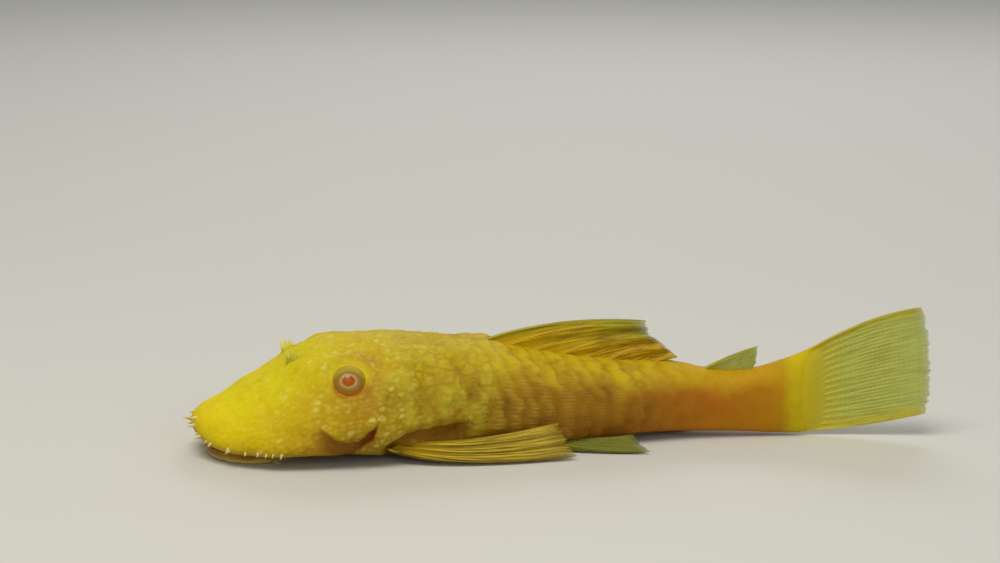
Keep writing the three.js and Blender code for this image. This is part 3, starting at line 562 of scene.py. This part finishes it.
def skin_finish():
    """Living fish skin over bony plates: moist but matt, golden, pale-grained, and a little light enters it.

    A pattern's scale counts its grains per metre, so a scale of 1000 makes them 1 mm apart.
    """
    made, tree, shader = material("golden_fish_skin", {
        "Subsurface Weight": 0.12, "Subsurface Radius": (1.0, 0.5, 0.05), "Subsurface Scale": 0.0012,
        "Specular IOR Level": 0.15})
    spot = add(tree, "TexCoord", out="Object")
    read = {name: add(tree, "Attribute", attribute_name=name, out="Fac") for name in (
        "s_place", "height", "seam", "column", "plated", "shoulder", "knob", "gill", "shade_under_cover", "hollow",
        "eye_away", "under_eye", "around")}
    along = {name: add(tree, "MapRange", {"Value": read["s_place"], "From Min": start, "From Max": end,
                                          "To Min": first, "To Max": last}, **EASED)
             for name, (start, end, first, last) in ALONG_BODY.items()}

    # The three ground colours run into one another at uneven heights.
    upper, middle, lower = (add(tree, "ValToRGB", {"Fac": read["s_place"]}, ramp)
                            for ramp in (BACK_COLOURS, FLANK_COLOURS, SHADED_FOOT_COLOURS))
    broad = add(tree, "TexNoise", {"Vector": spot, "Scale": 170.0, "Detail": 3.0})
    level = add(tree, "Math", {0: broad, 1: 0.5, 2: -0.25}, operation="MULTIPLY_ADD")
    level = add(tree, "Math", {0: read["height"], 1: level}, operation="ADD")
    low = add(tree, "MapRange", {"Value": level, "From Min": 0.48, "From Max": 0.14}, **EASED)
    high = add(tree, "MapRange", {"Value": level, "From Min": 0.56, "From Max": 0.92}, **EASED)
    ground = add(tree, "Mix", {"Factor": low, 6: middle, 7: lower}, **COLOURS)
    ground = add(tree, "Mix", {"Factor": high, 6: ground, 7: upper}, **COLOURS)

    # Painted shadow: the snout's lower margin, by the lip, is darkened to a dull orange for the shade under
    # its edge.
    snout_underside_shadow = add(tree, "MapRange", {
        "Value": level, "From Min": 0.20, "From Max": 0.06, "To Max": 0.75}, **EASED)
    snout_underside_shadow = add(tree, "Math", {0: snout_underside_shadow, 1: along["snout"]}, operation="MULTIPLY")
    ground = add(tree, "Mix", {"Factor": snout_underside_shadow, 6: ground, 7: shade("#9C6E02")}, **COLOURS)

    # Mottling: darker clouds 2 to 5 mm across, faint on the snout and the tail.
    clouds = add(tree, "TexNoise", {"Vector": spot, "Scale": 380.0, "Detail": 4.0, "Roughness": 0.62})
    cloudy = add(tree, "ValToRGB", {"Fac": clouds}, [(0.30, "#B8A070"), (0.50, "#F2E8CE"), (0.70, "#FFFFFF")])
    mottled = add(tree, "Math", {0: along["trunk"], 1: along["rearward"]}, operation="MULTIPLY")
    ground = add(tree, "Mix", {"Factor": mottled, 6: ground, 7: cloudy}, blend_type="MULTIPLY", **COLOURS)

    # A red blush below and behind the eye, where the skin is thin.
    blush = add(tree, "MapRange", {
        "Value": read["eye_away"], "From Min": 8.5, "From Max": 4.4, "To Max": 0.45}, **EASED)
    blush = add(tree, "Math", {0: blush, 1: along["behind_eye"]}, operation="MULTIPLY")
    ground = add(tree, "Mix", {"Factor": blush, 6: ground, 7: shade("#A8681C")}, **COLOURS)

    # Ring round the eye: broad over it, in a clear yellow a little lighter than the skin, painted light that
    # evens out the shade on the socket's slope; orange brown and narrow under it.
    ring_shade = add(tree, "Mix", {
        "Factor": read["under_eye"], 6: shade("#D2BE1C"), 7: shade("#AC720C")}, **COLOURS)
    brightened_socket_slope, narrow_ring = (
        add(tree, "MapRange", {"Value": read["eye_away"], "From Min": outside, "From Max": inside}, **EASED)
        for outside, inside in ((4.6, 3.0), (3.3, 2.7)))
    ring = add(tree, "Mix", {"Factor": read["under_eye"], 2: brightened_socket_slope, 3: narrow_ring})
    ground = add(tree, "Mix", {"Factor": ring, 6: ground, 7: ring_shade}, **COLOURS)

    # Pale grains, drawn out along the head: large soft ones on cheek and shoulder, fine ones up to the nape.
    wobble = add(tree, "TexNoise", {"Vector": spot, "Scale": 1300.0, "Detail": 2.0})
    drawn = add(tree, "Mapping", {"Vector": spot, "Rotation": (0, -0.35, 0), "Scale": (1.4, 1.0, 0.9)},
                vector_type="TEXTURE")
    grains = {}
    for size, (scale, uneven, edge, full) in GRAINS.items():
        away = add(tree, "TexVoronoi", {"Vector": drawn, "Scale": scale})
        away = add(tree, "Math", {0: wobble, 1: uneven, 2: away}, operation="MULTIPLY_ADD")
        grains[size] = add(tree, "MapRange", {"Value": away, "From Min": edge, "From Max": full}, **EASED)
    patchy = add(tree, "MapRange", {"Value": broad, "From Min": 0.40, "From Max": 0.60, "To Min": 0.35})
    off_rim = add(tree, "MapRange", {"Value": read["eye_away"], "From Min": 3.6, "From Max": 4.8})
    for size, limits in (("large", (along["cheek"], along["nape"], patchy, off_rim, along["off_snout"])),
                         ("middling", (along["cheek"], along["nape"], patchy, off_rim)),
                         ("fine", (along["fore"],))):
        for limit in limits:
            grains[size] = add(tree, "Math", {0: grains[size], 1: limit}, operation="MULTIPLY")

    # Fine ridges, half a millimetre apart, run back over the rear half of each plate, whose rim is paler.
    jitter = add(tree, "Math", {0: clouds, 1: 5.0}, operation="MULTIPLY")
    comb = add(tree, "Math", {0: read["around"], 1: 11.0, 2: jitter}, operation="MULTIPLY_ADD")
    comb = add(tree, "Math", {0: comb}, operation="SINE")
    phase = add(tree, "Math", {0: read["column"]}, operation="FRACT")
    rear = add(tree, "MapRange", {"Value": phase, "From Min": 0.2, "From Max": 0.75}, **EASED)
    rear = add(tree, "Math", {0: rear, 1: read["plated"]}, operation="MULTIPLY")
    comb = add(tree, "Math", {0: comb, 1: rear}, operation="MULTIPLY")
    pale = add(tree, "Math", {0: comb, 1: 0.5, 2: rear}, operation="MULTIPLY_ADD")
    pale = add(tree, "MapRange", {"Value": pale, "From Max": 1.5, "To Max": 0.24})

    # Pebbles 1.5 to 2.5 mm across cover the shoulder, with brown lines between them.
    bend = add(tree, "TexNoise", {"Vector": spot, "Scale": 500.0}, out="Color")
    bent = add(tree, "VectorMath", {0: bend, 1: (0.0012, 0.0012, 0.0012), 2: spot}, operation="MULTIPLY_ADD")
    line = add(tree, "TexVoronoi", {"Vector": bent, "Scale": 480.0}, feature="DISTANCE_TO_EDGE")
    line = add(tree, "MapRange", {"Value": line, "From Max": 0.23, "To Min": 1.0, "To Max": 0.0}, **EASED)
    uneven = add(tree, "MapRange", {"Value": clouds, "From Min": 0.35, "From Max": 0.60, "To Min": 0.3})
    for limit in (read["shoulder"], uneven):
        line = add(tree, "Math", {0: line, 1: limit}, operation="MULTIPLY")

    # Tints over the ground: grains, ridges, knobs a paler, greener yellow than the dips between them, pebble
    # lines, the orange brown of seams, and painted shade under the gill cover, in the hollow and in the gill
    # opening.
    for mask, strength, tint in (
            (grains["fine"], 0.17, "#E8D850"), (grains["middling"], 0.24, "#ECDC60"),
            (grains["large"], 0.52, "#EADC78"), (pale, 1.0, "#D8C04A"), (read["knob"], 0.4, "#C8BE34"),
            (line, 0.46, "#8E7008"), (read["seam"], 0.26, "#8A5A10"), (read["shade_under_cover"], 0.85, "#7C4A0A"),
            (read["hollow"], 1.0, "#96600C"), (read["gill"], 0.95, "#8C3E08")):
        mask = add(tree, "Math", {0: mask, 1: strength}, operation="MULTIPLY")
        ground = add(tree, "Mix", {"Factor": mask, 6: ground, 7: shade(tint)}, **COLOURS)

    # The same grains, ridges and lines stand out or lie deep, over a fine grit that also breaks the gloss.
    grit = add(tree, "TexNoise", {"Vector": spot, "Scale": 1500.0, "Detail": 3.0})
    rough = add(tree, "MapRange", {
        "Value": grit, "From Min": 0.3, "From Max": 0.7, "To Min": 0.55, "To Max": 0.72})
    swell = grains["large"]
    for relief, height in (
            (grains["middling"], 0.4), (grains["fine"], 0.4), (comb, 0.28), (grit, 0.6), (line, -2.0)):
        swell = add(tree, "Math", {0: relief, 1: height, 2: swell}, operation="MULTIPLY_ADD")
    bump = add(tree, "Bump", {"Height": swell, "Strength": 0.6, "Distance": 0.00012})
    wire(tree, shader, {"Base Color": ground, "Roughness": rough, "Normal": bump})
    return made


# Fins -----------------------------------------------------------------------

def bezier(root, control, tip, t):
    """Where t lies along each ray's curve, from 0 at its root to 1 at its tip."""
    t = t[:, None]
    return root * (1 - t) ** 2 + control * (2 * t * (1 - t)) + tip * t ** 2


def points(x, y, z):
    """Points from their coordinates, any of which may be one number for all."""
    return np.stack(np.broadcast_arrays(x, y, z), -1).astype(float)


def blade(across, along, point_at, half_thickness):
    """A closed thin blade: a block cut into a grid, whose two faces lie either side of a curved middle."""
    bm = bmesh.new()
    bmesh.ops.create_cube(bm, size=2)
    for axis, cuts in ((0, across - 1), (1, along - 1)):
        edges = [e for e in bm.edges if abs(e.verts[0].co[axis] - e.verts[1].co[axis]) > 1e-6]
        bmesh.ops.subdivide_edges(bm, edges=edges, cuts=cuts, use_grid_fill=True)
    block = corners(bm)
    u, v = (block[:, 0] + 1) / 2, (block[:, 1] + 1) / 2
    step = 1e-3
    du, dv = np.where(u + step > 1, -step, step), np.where(v + step > 1, -step, step)
    middle = point_at(u, v)
    eu = (point_at(u + du, v) - middle) / du[:, None]
    ev = (point_at(u, v + dv) - middle) / dv[:, None]
    normal = np.cross(eu, ev)
    normal /= np.linalg.norm(normal, axis=1)[:, None] + 1e-12
    places = middle + normal * (np.sign(block[:, 2]) * half_thickness(u, v))[:, None]
    return bm, u, v, places


def ray_ridge(u, v, rays):
    """1 on a ray's crest and 0 between rays; each ray forks in two, and each branch again nearer the tip."""
    phase = u * (rays - 1)
    off = phase - np.rint(phase)
    first = 0.24 * smooth(0.1, 0.6, v)
    second = 0.11 * smooth(0.45, 0.95, v)
    branch = np.abs(np.abs(off) - first)
    return hump(np.abs(branch - second), 0.16 - 0.09 * smooth(0.1, 0.7, v))


def fin_piece(name, node, rays, ray_at, sizes, finish, along=90, per_ray=16, pleat=0.0, ragged=0.02,
              thick=None):
    """A fin of forked rays joined by a thin web. sizes are half thicknesses: leading ray, ray, web, tip."""
    lead, ray, web, tip = sizes

    def point_at(u, v):
        root, control, end = ray_at(u)
        frayed = 1 - ray_ridge(u, v, rays) + 0.6 * (1 + lumps(points(u * rays * 1.7, 0, 0), 1, 31))
        inside = smooth(0, 0.1, u) * (1 - smooth(0.9, 1, u))
        place = bezier(root, control, end, v * (1 - ragged * v ** 6 * frayed * inside))
        place[:, 1] += np.cos(u * math.pi * (rays - 1)) * pleat * v
        return place

    def half_thickness(u, v):
        crest = ray_ridge(u, v, rays)
        stout = mix(ray, lead, hump(u * (rays - 1), 0.35))
        body = mix(web, mix(stout, tip, v ** 1.2), crest)
        body *= 1 - 0.8 * smooth(0.96, 1.0, v)
        return body if thick is None else np.maximum(body, thick(u, v))

    bm, u, v, places = blade((rays - 1) * per_ray, along, point_at, half_thickness)
    places[:, 2] = np.maximum(places[:, 2], FIN_CLEARANCE)
    move_to(bm, bowed(places))
    marks = {"ray": ray_ridge(u, v, rays), "reach": v, "spread": u}
    return piece(name, bm, finish, (node,), marks)


# Each fin's finish: the colours of its root, rays, web, tip, leading edge and last ray, then where the last
# ray's colour begins, how clear the web is and how strong the streaks are.
FIN_LOOKS = {
    "folded_dorsal_fin": ("#CCA806", "#D6B60C", "#C0A40C", "#9A9C1E", "#A4A41E", "#CAA002", 0.28, 0.08, 0.75),
    "spread_tail_fin": ("#CAB40C", "#C6CC60", "#B8BC54", "#BCC468", "#BEAE1E", "#CCBC2C", 0.84, 0.14, 0.28),
    "thin_back_fin": ("#BEA61C", "#B8B83E", "#A8AE3E", "#AAB044", "#B0A82A", "#B0A82C", 0.84, 0.3, 0.3),
    "paired_fins": ("#C8A210", "#DCC238", "#A68C1A", "#C8B03C", "#D6BA3C", "#BC9C1A", 0.8, 0.12, 0.85),
    "hind_fins": ("#968418", "#92922E", "#747A28", "#80842E", "#928C28", "#808226", 0.84, 0.3, 0.45)}
LAST_RAY_FADE = 0.35
# The wave of a ray's joints in radians from root to tip: 27 joints, about a millimetre apart.
RAY_JOINTING = 170.0


def fin_finish(name):
    """Fin: bony golden rays joined by thin clear skin, through which a little of what lies behind shows."""
    root, ray, web, tip, edge, last, last_from, clear, streaks = FIN_LOOKS[name]
    made, tree, shader = material(name, {
        "Roughness": 0.45, "Specular IOR Level": 0.2, "Subsurface Weight": 0.2,
        "Subsurface Radius": (1.0, 0.7, 0.1), "Subsurface Scale": 0.0008})
    read = {key: add(tree, "Attribute", attribute_name=key, out="Fac") for key in ("ray", "reach", "spread")}

    # Streaks that run along the rays.
    over = add(tree, "Math", {0: read["spread"], 1: 30.0}, operation="MULTIPLY")
    onward = add(tree, "Math", {0: read["reach"], 1: 4.0}, operation="MULTIPLY")
    grain = add(tree, "CombineXYZ", {"X": over, "Y": onward})
    streak = add(tree, "TexNoise", {"Vector": grain, "Scale": 1.0, "Detail": 4.0, "Roughness": 0.6})

    # Rays and web, between the fleshy root and the tip; then the leading edge and the last ray.
    colour = add(tree, "Mix", {"Factor": read["ray"], 6: shade(web), 7: shade(ray)}, **COLOURS)
    waver = add(tree, "Math", {0: streak, 1: 0.4, 2: read["reach"]}, operation="MULTIPLY_ADD")
    near_root = add(tree, "MapRange", {"Value": waver, "From Min": 0.66, "From Max": 0.2}, **EASED)
    outward = add(tree, "MapRange", {
        "Value": read["reach"], "From Min": 0.5, "From Max": 0.95, "To Max": 0.8}, **EASED)
    front_rim, last_rim = (
        add(tree, "MapRange", {
            "Value": read["spread"], "From Min": start, "From Max": end, "To Max": 0.85}, **EASED)
        for start, end in ((0.10, 0.0), (last_from, min(1, last_from + LAST_RAY_FADE))))
    # Dark lines lie between the rays, also where the skin is thick.
    valley = add(tree, "MapRange", {"Value": read["ray"], "From Min": 0.35, "From Max": 0.0, "To Max": 0.3})
    clear_of_root = add(tree, "MapRange", {"Value": read["reach"], "From Min": 0.12, "From Max": 0.4})
    valley = add(tree, "Math", {0: valley, 1: clear_of_root}, operation="MULTIPLY")
    for mask, tint in ((near_root, root), (outward, tip), (front_rim, edge), (last_rim, last), (valley, web)):
        colour = add(tree, "Mix", {"Factor": mask, 6: colour, 7: shade(tint)}, **COLOURS)
    soft = add(tree, "ValToRGB", {"Fac": streak}, [(0.34, "#94804C"), (0.58, "#FFFFFF")])
    streaked = add(tree, "Math", {0: clear_of_root, 1: streaks}, operation="MULTIPLY")
    colour = add(tree, "Mix", {"Factor": streaked, 6: colour, 7: soft}, blend_type="MULTIPLY", **COLOURS)

    # The joints of the rays stand out a little.
    joint = add(tree, "Math", {0: read["reach"], 1: RAY_JOINTING}, operation="MULTIPLY")
    joint = add(tree, "Math", {0: joint}, operation="SINE")
    joint = add(tree, "Math", {0: joint, 1: read["ray"]}, operation="MULTIPLY")
    joint = add(tree, "Math", {0: streak, 1: 2.0, 2: joint}, operation="MULTIPLY_ADD")
    bump = add(tree, "Bump", {"Height": joint, "Strength": 0.35, "Distance": 0.0001})

    # Rays, root and last ray are solid, the web and the tips are a little clear.
    solid = read["ray"]
    for part in (near_root, last_rim):
        solid = add(tree, "Math", {0: solid, 1: part}, operation="MAXIMUM")
    alpha = add(tree, "MapRange", {"Value": solid, "To Min": 1 - clear, "To Max": 1.0})
    tips = add(tree, "MapRange", {"Value": read["reach"], "From Min": 0.90, "To Min": 1.0, "To Max": 0.5})
    alpha = add(tree, "Math", {0: alpha, 1: tips}, operation="MULTIPLY")
    wire(tree, shader, {"Base Color": colour, "Normal": bump, "Alpha": alpha})
    return made


dorsal_tip_s = through((0, 75.0), (0.3, 76.0), (0.6, 77.9), (1, 80.3))
dorsal_tip_z = through((0, 19.1), (0.2, 17.8), (0.5, 15.9), (1, 13.1))
tail_tip_s = through((0, 119.3), (0.12, 120.5), (0.35, 121.2), (0.8, 121.6), (1, 120.7))


# Each ray function gives the root, the control point and the tip of the ray at u: 0 leads, 1 is the last.

def dorsal_ray(u):
    s = mix(47.3, 75, u)
    root = points(s, 0, back_line(s) - mix(0.9, 1.6, u))
    tip = points(dorsal_tip_s(u), 0, dorsal_tip_z(u))
    control = mix(root, tip, 0.42) + points(0, 0, mix(3.1, 0.7, np.clip(u, 0, 1) ** 0.7))
    return root, control, tip


def tail_ray(u):
    root = points(STANDARD_LENGTH + 0.3, 0, mix(13.4, 0.6, u))
    tip = points(tail_tip_s(u), 0, mix(21.9, 4.1, u))
    control = mix(root, tip, 0.5) + points(0, 0, mix(2.6, -1.1, u))
    return root, control, tip


def adipose_ray(u):
    s = mix(83.2, 91.6, u)
    root = points(s, 0, back_line(s) - 1.2)
    tip = points(mix(93.4, 93.1, u), 0, mix(14.9, 12.1, u))
    control = mix(root, tip, 0.5) + points(0, 0, mix(0.9, 0.1, u))
    return root, control, tip


def anal_ray(u):
    root = points(mix(73, 77, u), mix(1.6, 0.8, u), 1.3)
    tip = points(mix(83.5, 86, u), mix(4.6, 2.4, u), 0.42)
    control = points(mix(77.5, 80.5, u), mix(3.8, 2, u), 0.3)
    return root, control, tip


def pectoral_ray(side):
    def ray_at(u):
        root = points(mix(31.4, 34.4, u), side * mix(12.0, 11.8, u), mix(2.2, 3.4, u))
        tip = points(mix(62.8, 59.8, u), side * mix(14.0, 12.2, np.clip(u, 0, 1) ** 0.8), mix(0.7, 5.8, u))
        control = points(mix(43, 45, u), side * mix(17.4, 14.8, u), mix(-0.2, 3.3, u))
        return root, control, tip
    return ray_at


def pelvic_ray(side):
    def ray_at(u):
        root = points(mix(54, 58, u), side * mix(7.4, 6.0, u), mix(1.8, 2.0, u))
        tip = points(mix(75, 72.6, u), side * mix(11.4, 7.8, u), mix(0.55, 2.2, u))
        control = points(mix(64, 65, u), side * mix(11.6, 8.2, u), mix(0.1, 1.2, u))
        return root, control, tip
    return ray_at


def fleshy_root(u, v):
    """Half the thickness of the flesh at the tail fin's root."""
    belly = 2.0 * np.sqrt(np.clip(1 - (2 * u - 1) ** 2, 0.05, 1))
    return belly * (1 - smooth(0.0, 0.27, v)) ** 1.4


def make_fins():
    fold, fan, thin, paired, hind = (fin_finish(name) for name in FIN_LOOKS)
    fin_piece("dorsal_fin_rays", "dorsal_fin", 8, dorsal_ray, (0.55, 0.42, 0.2, 0.16), fold, pleat=0.35,
              per_ray=20)
    fin_piece("tail_fin_rays", "tail_fin", 16, tail_ray, (0.5, 0.3, 0.16, 0.14), fan, thick=fleshy_root,
              along=120, ragged=0.018)
    fin_piece("adipose_fin_web", "adipose_fin", 3, adipose_ray, (0.5, 0.22, 0.16, 0.14), thin, along=50)
    fin_piece("anal_fin_rays", "anal_fin", 5, anal_ray, (0.34, 0.3, 0.14, 0.14), hind, along=50)
    for side, word in SIDES:
        fin_piece(f"pectoral_fin_rays_{word}", f"pectoral_fin_{word}", 7, pectoral_ray(side),
                  (0.95, 0.42, 0.2, 0.2), paired, per_ray=20, pleat=0.3)
        fin_piece(f"pelvic_fin_rays_{word}", f"pelvic_fin_{word}", 6, pelvic_ray(side),
                  (0.7, 0.36, 0.16, 0.16), hind, along=70)


# Eyes, mouth, nostrils and bristles -----------------------------------------

def eye_finish():
    """Eye: a soft orange-red pupil in a cream ring and a grey-brown iris, wet enough for a small glint."""
    made, tree, shader = material("wet_fish_eye", {
        "Roughness": 0.5, "Specular IOR Level": 0.1, "Coat Weight": 0.15, "Coat Roughness": 0.08})
    gaze = add(tree, "Attribute", attribute_name="gaze", out="Vector")
    height = add(tree, "SeparateXYZ", {"Vector": gaze}, out="Y")

    # Rings round a slightly oval pupil, with wavering borders; share is 1 at the eye's edge.
    oval = add(tree, "VectorMath", {0: gaze, 1: (1.0, 1.2, 1.0)}, operation="MULTIPLY")
    away = add(tree, "VectorMath", {0: oval}, operation="LENGTH", out="Value")
    cloud = add(tree, "TexNoise", {"Vector": gaze, "Scale": 2.6, "Detail": 4.0})
    waver = add(tree, "Math", {0: cloud, 1: 0.5, 2: -0.25}, operation="MULTIPLY_ADD")
    away = add(tree, "Math", {0: away, 1: waver}, operation="ADD")
    share = add(tree, "Math", {0: away, 1: 3.0}, operation="DIVIDE")
    colour = add(tree, "ValToRGB", {"Fac": share}, [
        (0.00, "#B05204"), (0.24, "#A84E00"), (0.33, "#A4560E"), (0.39, "#B89858"), (0.46, "#B08C4A"),
        (0.55, "#967238"), (0.72, "#906A28"), (0.84, "#A08216"), (0.94, "#B49A10"), (1.00, "#B89E10")])

    # The outer ring is olive above and orange brown below.
    rim = add(tree, "MapRange", {"Value": share, "From Min": 0.54, "From Max": 0.78}, **EASED)
    under, above = (add(tree, "MapRange", {"Value": height, "From Min": start, "From Max": end}, **EASED)
                    for start, end in ((0.6, -1.6), (0.2, 2.0)))
    under, above = (add(tree, "Math", {0: half, 1: rim}, operation="MULTIPLY") for half in (under, above))
    # The pupil is darker at its top, where a lobe of the iris hangs into it.
    shaded = add(tree, "MapRange", {"Value": height, "From Min": 0.1, "From Max": 0.6, "To Max": 0.75})
    inside = add(tree, "MapRange", {"Value": share, "From Min": 0.34, "From Max": 0.28})
    shaded = add(tree, "Math", {0: shaded, 1: inside}, operation="MULTIPLY")
    lobe = add(tree, "VectorMath", {0: gaze, 1: (-0.16, 0.8, 0)}, operation="DISTANCE", out="Value")
    lobe = add(tree, "MapRange", {"Value": lobe, "From Min": 0.42, "From Max": 0.22}, **EASED)
    for mask, tint in ((under, "#A06408"), (above, "#AC962A"), (shaded, "#743A08"), (lobe, "#B8925A")):
        colour = add(tree, "Mix", {"Factor": mask, 6: colour, 7: shade(tint)}, **COLOURS)
    wire(tree, shader, {"Base Color": colour})
    return made


def make_eye(side, word, finish):
    """The eyeball, flatter than a ball, with its own flat coordinates in millimetres round the pupil."""
    middle, look, top, fore = eye_frame(side)
    bm = bmesh.new()
    bmesh.ops.create_uvsphere(bm, u_segments=96, v_segments=64, radius=1)
    ball = corners(bm)
    across, up, out = (ball * (EYE_RADIUS, EYE_RADIUS, EYE_DEPTH)).T[:, :, None]
    gaze = np.concatenate([across, up + GAZE_DROP, 0 * out], -1)
    # The half inside the head takes the rim's colour.
    gaze[ball[:, 2] < 0] = (3, 0, 0)
    move_to(bm, bowed(middle + across * fore + up * top + out * look))
    piece(f"eyeball_{word}", bm, finish, (f"eye_{word}",), {"gaze": gaze})


def cone(bm, root, direction, length, radius, sides=8):
    """Adds a pointed bristle, a third of its length sunk in the skin."""
    turn = Vector(direction).to_track_quat("Z", "Y").to_matrix().to_4x4()
    place = Matrix.Translation(Vector(root)) @ turn @ Matrix.Translation((0, 0, length * 0.33))
    bmesh.ops.create_cone(bm, cap_ends=True, segments=sides, radius1=radius, radius2=radius * 0.12,
                          depth=length * 1.35, matrix=place)


# Bristles on each side: place along the body, angle round it and length.
BRISTLES = [
    (1.45, 8, 1.3), (1.7, 58, 0.8), (2.0, -26, 1.0), (3.3, -15, 0.75), (5.7, -11, 0.95), (8.3, -14, 0.7),
    (10.2, -12, 0.8), (11.5, -14, 0.8), (12.6, -11, 0.9), (13.9, -13, 1.1),
]
SHORT_BRISTLES = 6


def make_bristles(finish):
    """Pale bristles round the front and lower edge of the snout, with shorter ones between them."""
    chance = random.Random(11)
    bm = bmesh.new()
    for side in (LEFT, RIGHT):
        short = [(1.6 + 12.6 * chance.random() ** 1.4, -4 - 22 * chance.random(),
                  0.35 + 0.3 * chance.random()) for _ in range(SHORT_BRISTLES)]
        for s, angle, length in BRISTLES + short:
            # Those on the snout's front stand up, those along the lip hang and are slimmer.
            droop = smooth(1.5, 6, s)
            lean = np.array([-0.3, 0, 0.3 * (chance.random() - 0.5) - 0.7 * droop])
            cone(bm, skin_point(s, angle, side), skin_normal(s, angle, side) + lean,
                 length * (1 - 0.15 * droop), (0.14 + 0.32 * length) * (1 - 0.25 * droop))
    move_to(bm, bowed(corners(bm)))
    piece("snout_bristles", bm, finish, ())


def clouded_finish(name, deep, light, values):
    """A finish of two shades that run into each other about every millimetre."""
    made, tree, shader = material(name, values)
    spot = add(tree, "TexCoord", out="Object")
    cloud = add(tree, "TexNoise", {"Vector": spot, "Scale": 900.0, "Detail": 2.0})
    wire(tree, shader, {"Base Color": add(tree, "ValToRGB", {"Fac": cloud}, [(0.35, deep), (0.65, light)])})
    return made


def horn_finish():
    """Bristle horn: cream, smooth, and slightly clear, so that light enters it."""
    return clouded_finish("cream_bristle_horn", "#D6C470", "#E8DCA6", {
        "Roughness": 0.35, "Subsurface Weight": 0.3, "Subsurface Radius": (1.0, 0.8, 0.5),
        "Subsurface Scale": 0.0006})


def flap_finish():
    """Nostril flaps: thin, dull, greenish yellow skin."""
    return clouded_finish("thin_nostril_skin", "#D2C832", "#E0DA60", {
        "Roughness": 0.5, "Specular IOR Level": 0.2})


FLAP_SHREDS = 9


def make_nostrils(finish):
    """A ragged flap of skin stands between each pair of nostrils."""
    chance = random.Random(5)
    bm = bmesh.new()
    for side in (LEFT, RIGHT):
        root = skin_point(NOSTRIL_S, NOSTRIL_ANGLE, side)
        for i in range(FLAP_SHREDS):
            spread = 2 * i / (FLAP_SHREDS - 1) - 1
            foot = root + np.array([0.55 * spread, side * 0.3 * (spread + 0.4 * (chance.random() - 0.5)), 0])
            lean = (0.35 * spread + 0.25 * (chance.random() - 0.5), side * (0.2 + 0.3 * chance.random()), 1.0)
            height = (1.5 + 0.9 * chance.random()) * (1 - 0.25 * spread * spread)
            cone(bm, foot, lean, height, 0.36, sides=7)
    move_to(bm, bowed(corners(bm)))
    piece("nostril_flaps", bm, finish, ())


# The mouth disc, and half its profile from the middle of its underside over the lip to the middle of its top.
MOUTH_S, MOUTH_HALF_WIDTH, MOUTH_HALF_LENGTH = 11.2, 8.8, 8.0
MOUTH_PROFILE = [(0, 0.55), (0.32, 0.5), (0.6, 0.3), (0.68, 0.02), (0.78, 0.0), (0.93, 0.02), (0.985, 0.35),
                 (1.0, 0.9), (0.96, 1.5), (0.8, 1.9), (0, 1.9)]


def make_mouth(finish):
    """The sucker mouth: a soft, grained disc of lips, spun from its profile, with a barbel at each side."""
    bm = bmesh.new()
    chain = [bm.verts.new((x, 0, z)) for x, z in MOUTH_PROFILE]
    edges = [bm.edges.new(pair) for pair in zip(chain, chain[1:])]
    bmesh.ops.subdivide_edges(bm, edges=edges, cuts=4)
    bmesh.ops.spin(bm, geom=bm.verts[:] + bm.edges[:], cent=(0, 0, 0), axis=(0, 0, 1), angle=2 * math.pi,
                   steps=160, use_merge=True)
    bmesh.ops.remove_doubles(bm, verts=bm.verts, dist=1e-4)
    disc = corners(bm)
    lip = smooth(0.9, 1.0, np.hypot(disc[:, 0], disc[:, 1]))
    disc = disc * (MOUTH_HALF_LENGTH, MOUTH_HALF_WIDTH, 1) + (MOUTH_S, 0, 0)
    # Grains swell the lip outwards and roughen what doesn't rest on the floor.
    out = (disc - (MOUTH_S, 0, 0)) * (1, 1, 0)
    disc += out * (0.018 * lumps(disc, 0.8, 9) * lip)[:, None]
    disc[:, 2] = np.clip(disc[:, 2] + 0.06 * lumps(disc, 0.6, 10) * (disc[:, 2] > 0.1), 0, None)
    move_to(bm, disc)
    for side in (LEFT, RIGHT):
        cone(bm, (MOUTH_S + 1.5, side * 8.0, 0.5), (0.55, side, -0.03), 2.5, 0.4, sides=12)
    move_to(bm, bowed(corners(bm)))
    piece("sucker_mouth", bm, finish, ("mouth_disc",))


def lip_finish():
    """Lips: soft ochre skin with fine grains, paler at the edge, moist."""
    made, tree, shader = material("soft_lip_skin", {
        "Roughness": 0.45, "Subsurface Weight": 0.2, "Subsurface Radius": (1.0, 0.6, 0.3),
        "Subsurface Scale": 0.001})
    spot = add(tree, "TexCoord", out="Object")
    cloud = add(tree, "TexNoise", {"Vector": spot, "Scale": 420.0, "Detail": 4.0})
    colour = add(tree, "ValToRGB", {"Fac": cloud}, [(0.3, "#94680A"), (0.5, "#A87A10"), (0.7, "#BC9224")])
    height = add(tree, "SeparateXYZ", {"Vector": spot}, out="Z")
    rim = add(tree, "MapRange", {
        "Value": height, "From Min": 0.0010, "From Max": 0.0003, "To Max": 0.85}, **EASED)
    colour = add(tree, "Mix", {"Factor": rim, 6: colour, 7: shade("#DCD078")}, **COLOURS)
    grain = add(tree, "TexVoronoi", {"Vector": spot, "Scale": 1800.0})
    bump = add(tree, "Bump", {"Height": grain, "Strength": 0.5, "Distance": 0.0001})
    wire(tree, shader, {"Base Color": colour, "Normal": bump})
    return made


# Everything -----------------------------------------------------------------

make_camera()
make_studio()
make_skin(skin_finish())
make_fins()
wet_eye = eye_finish()
for flank, flank_word in SIDES:
    make_eye(flank, flank_word, wet_eye)
make_bristles(horn_finish())
make_nostrils(flap_finish())
make_mouth(lip_finish())
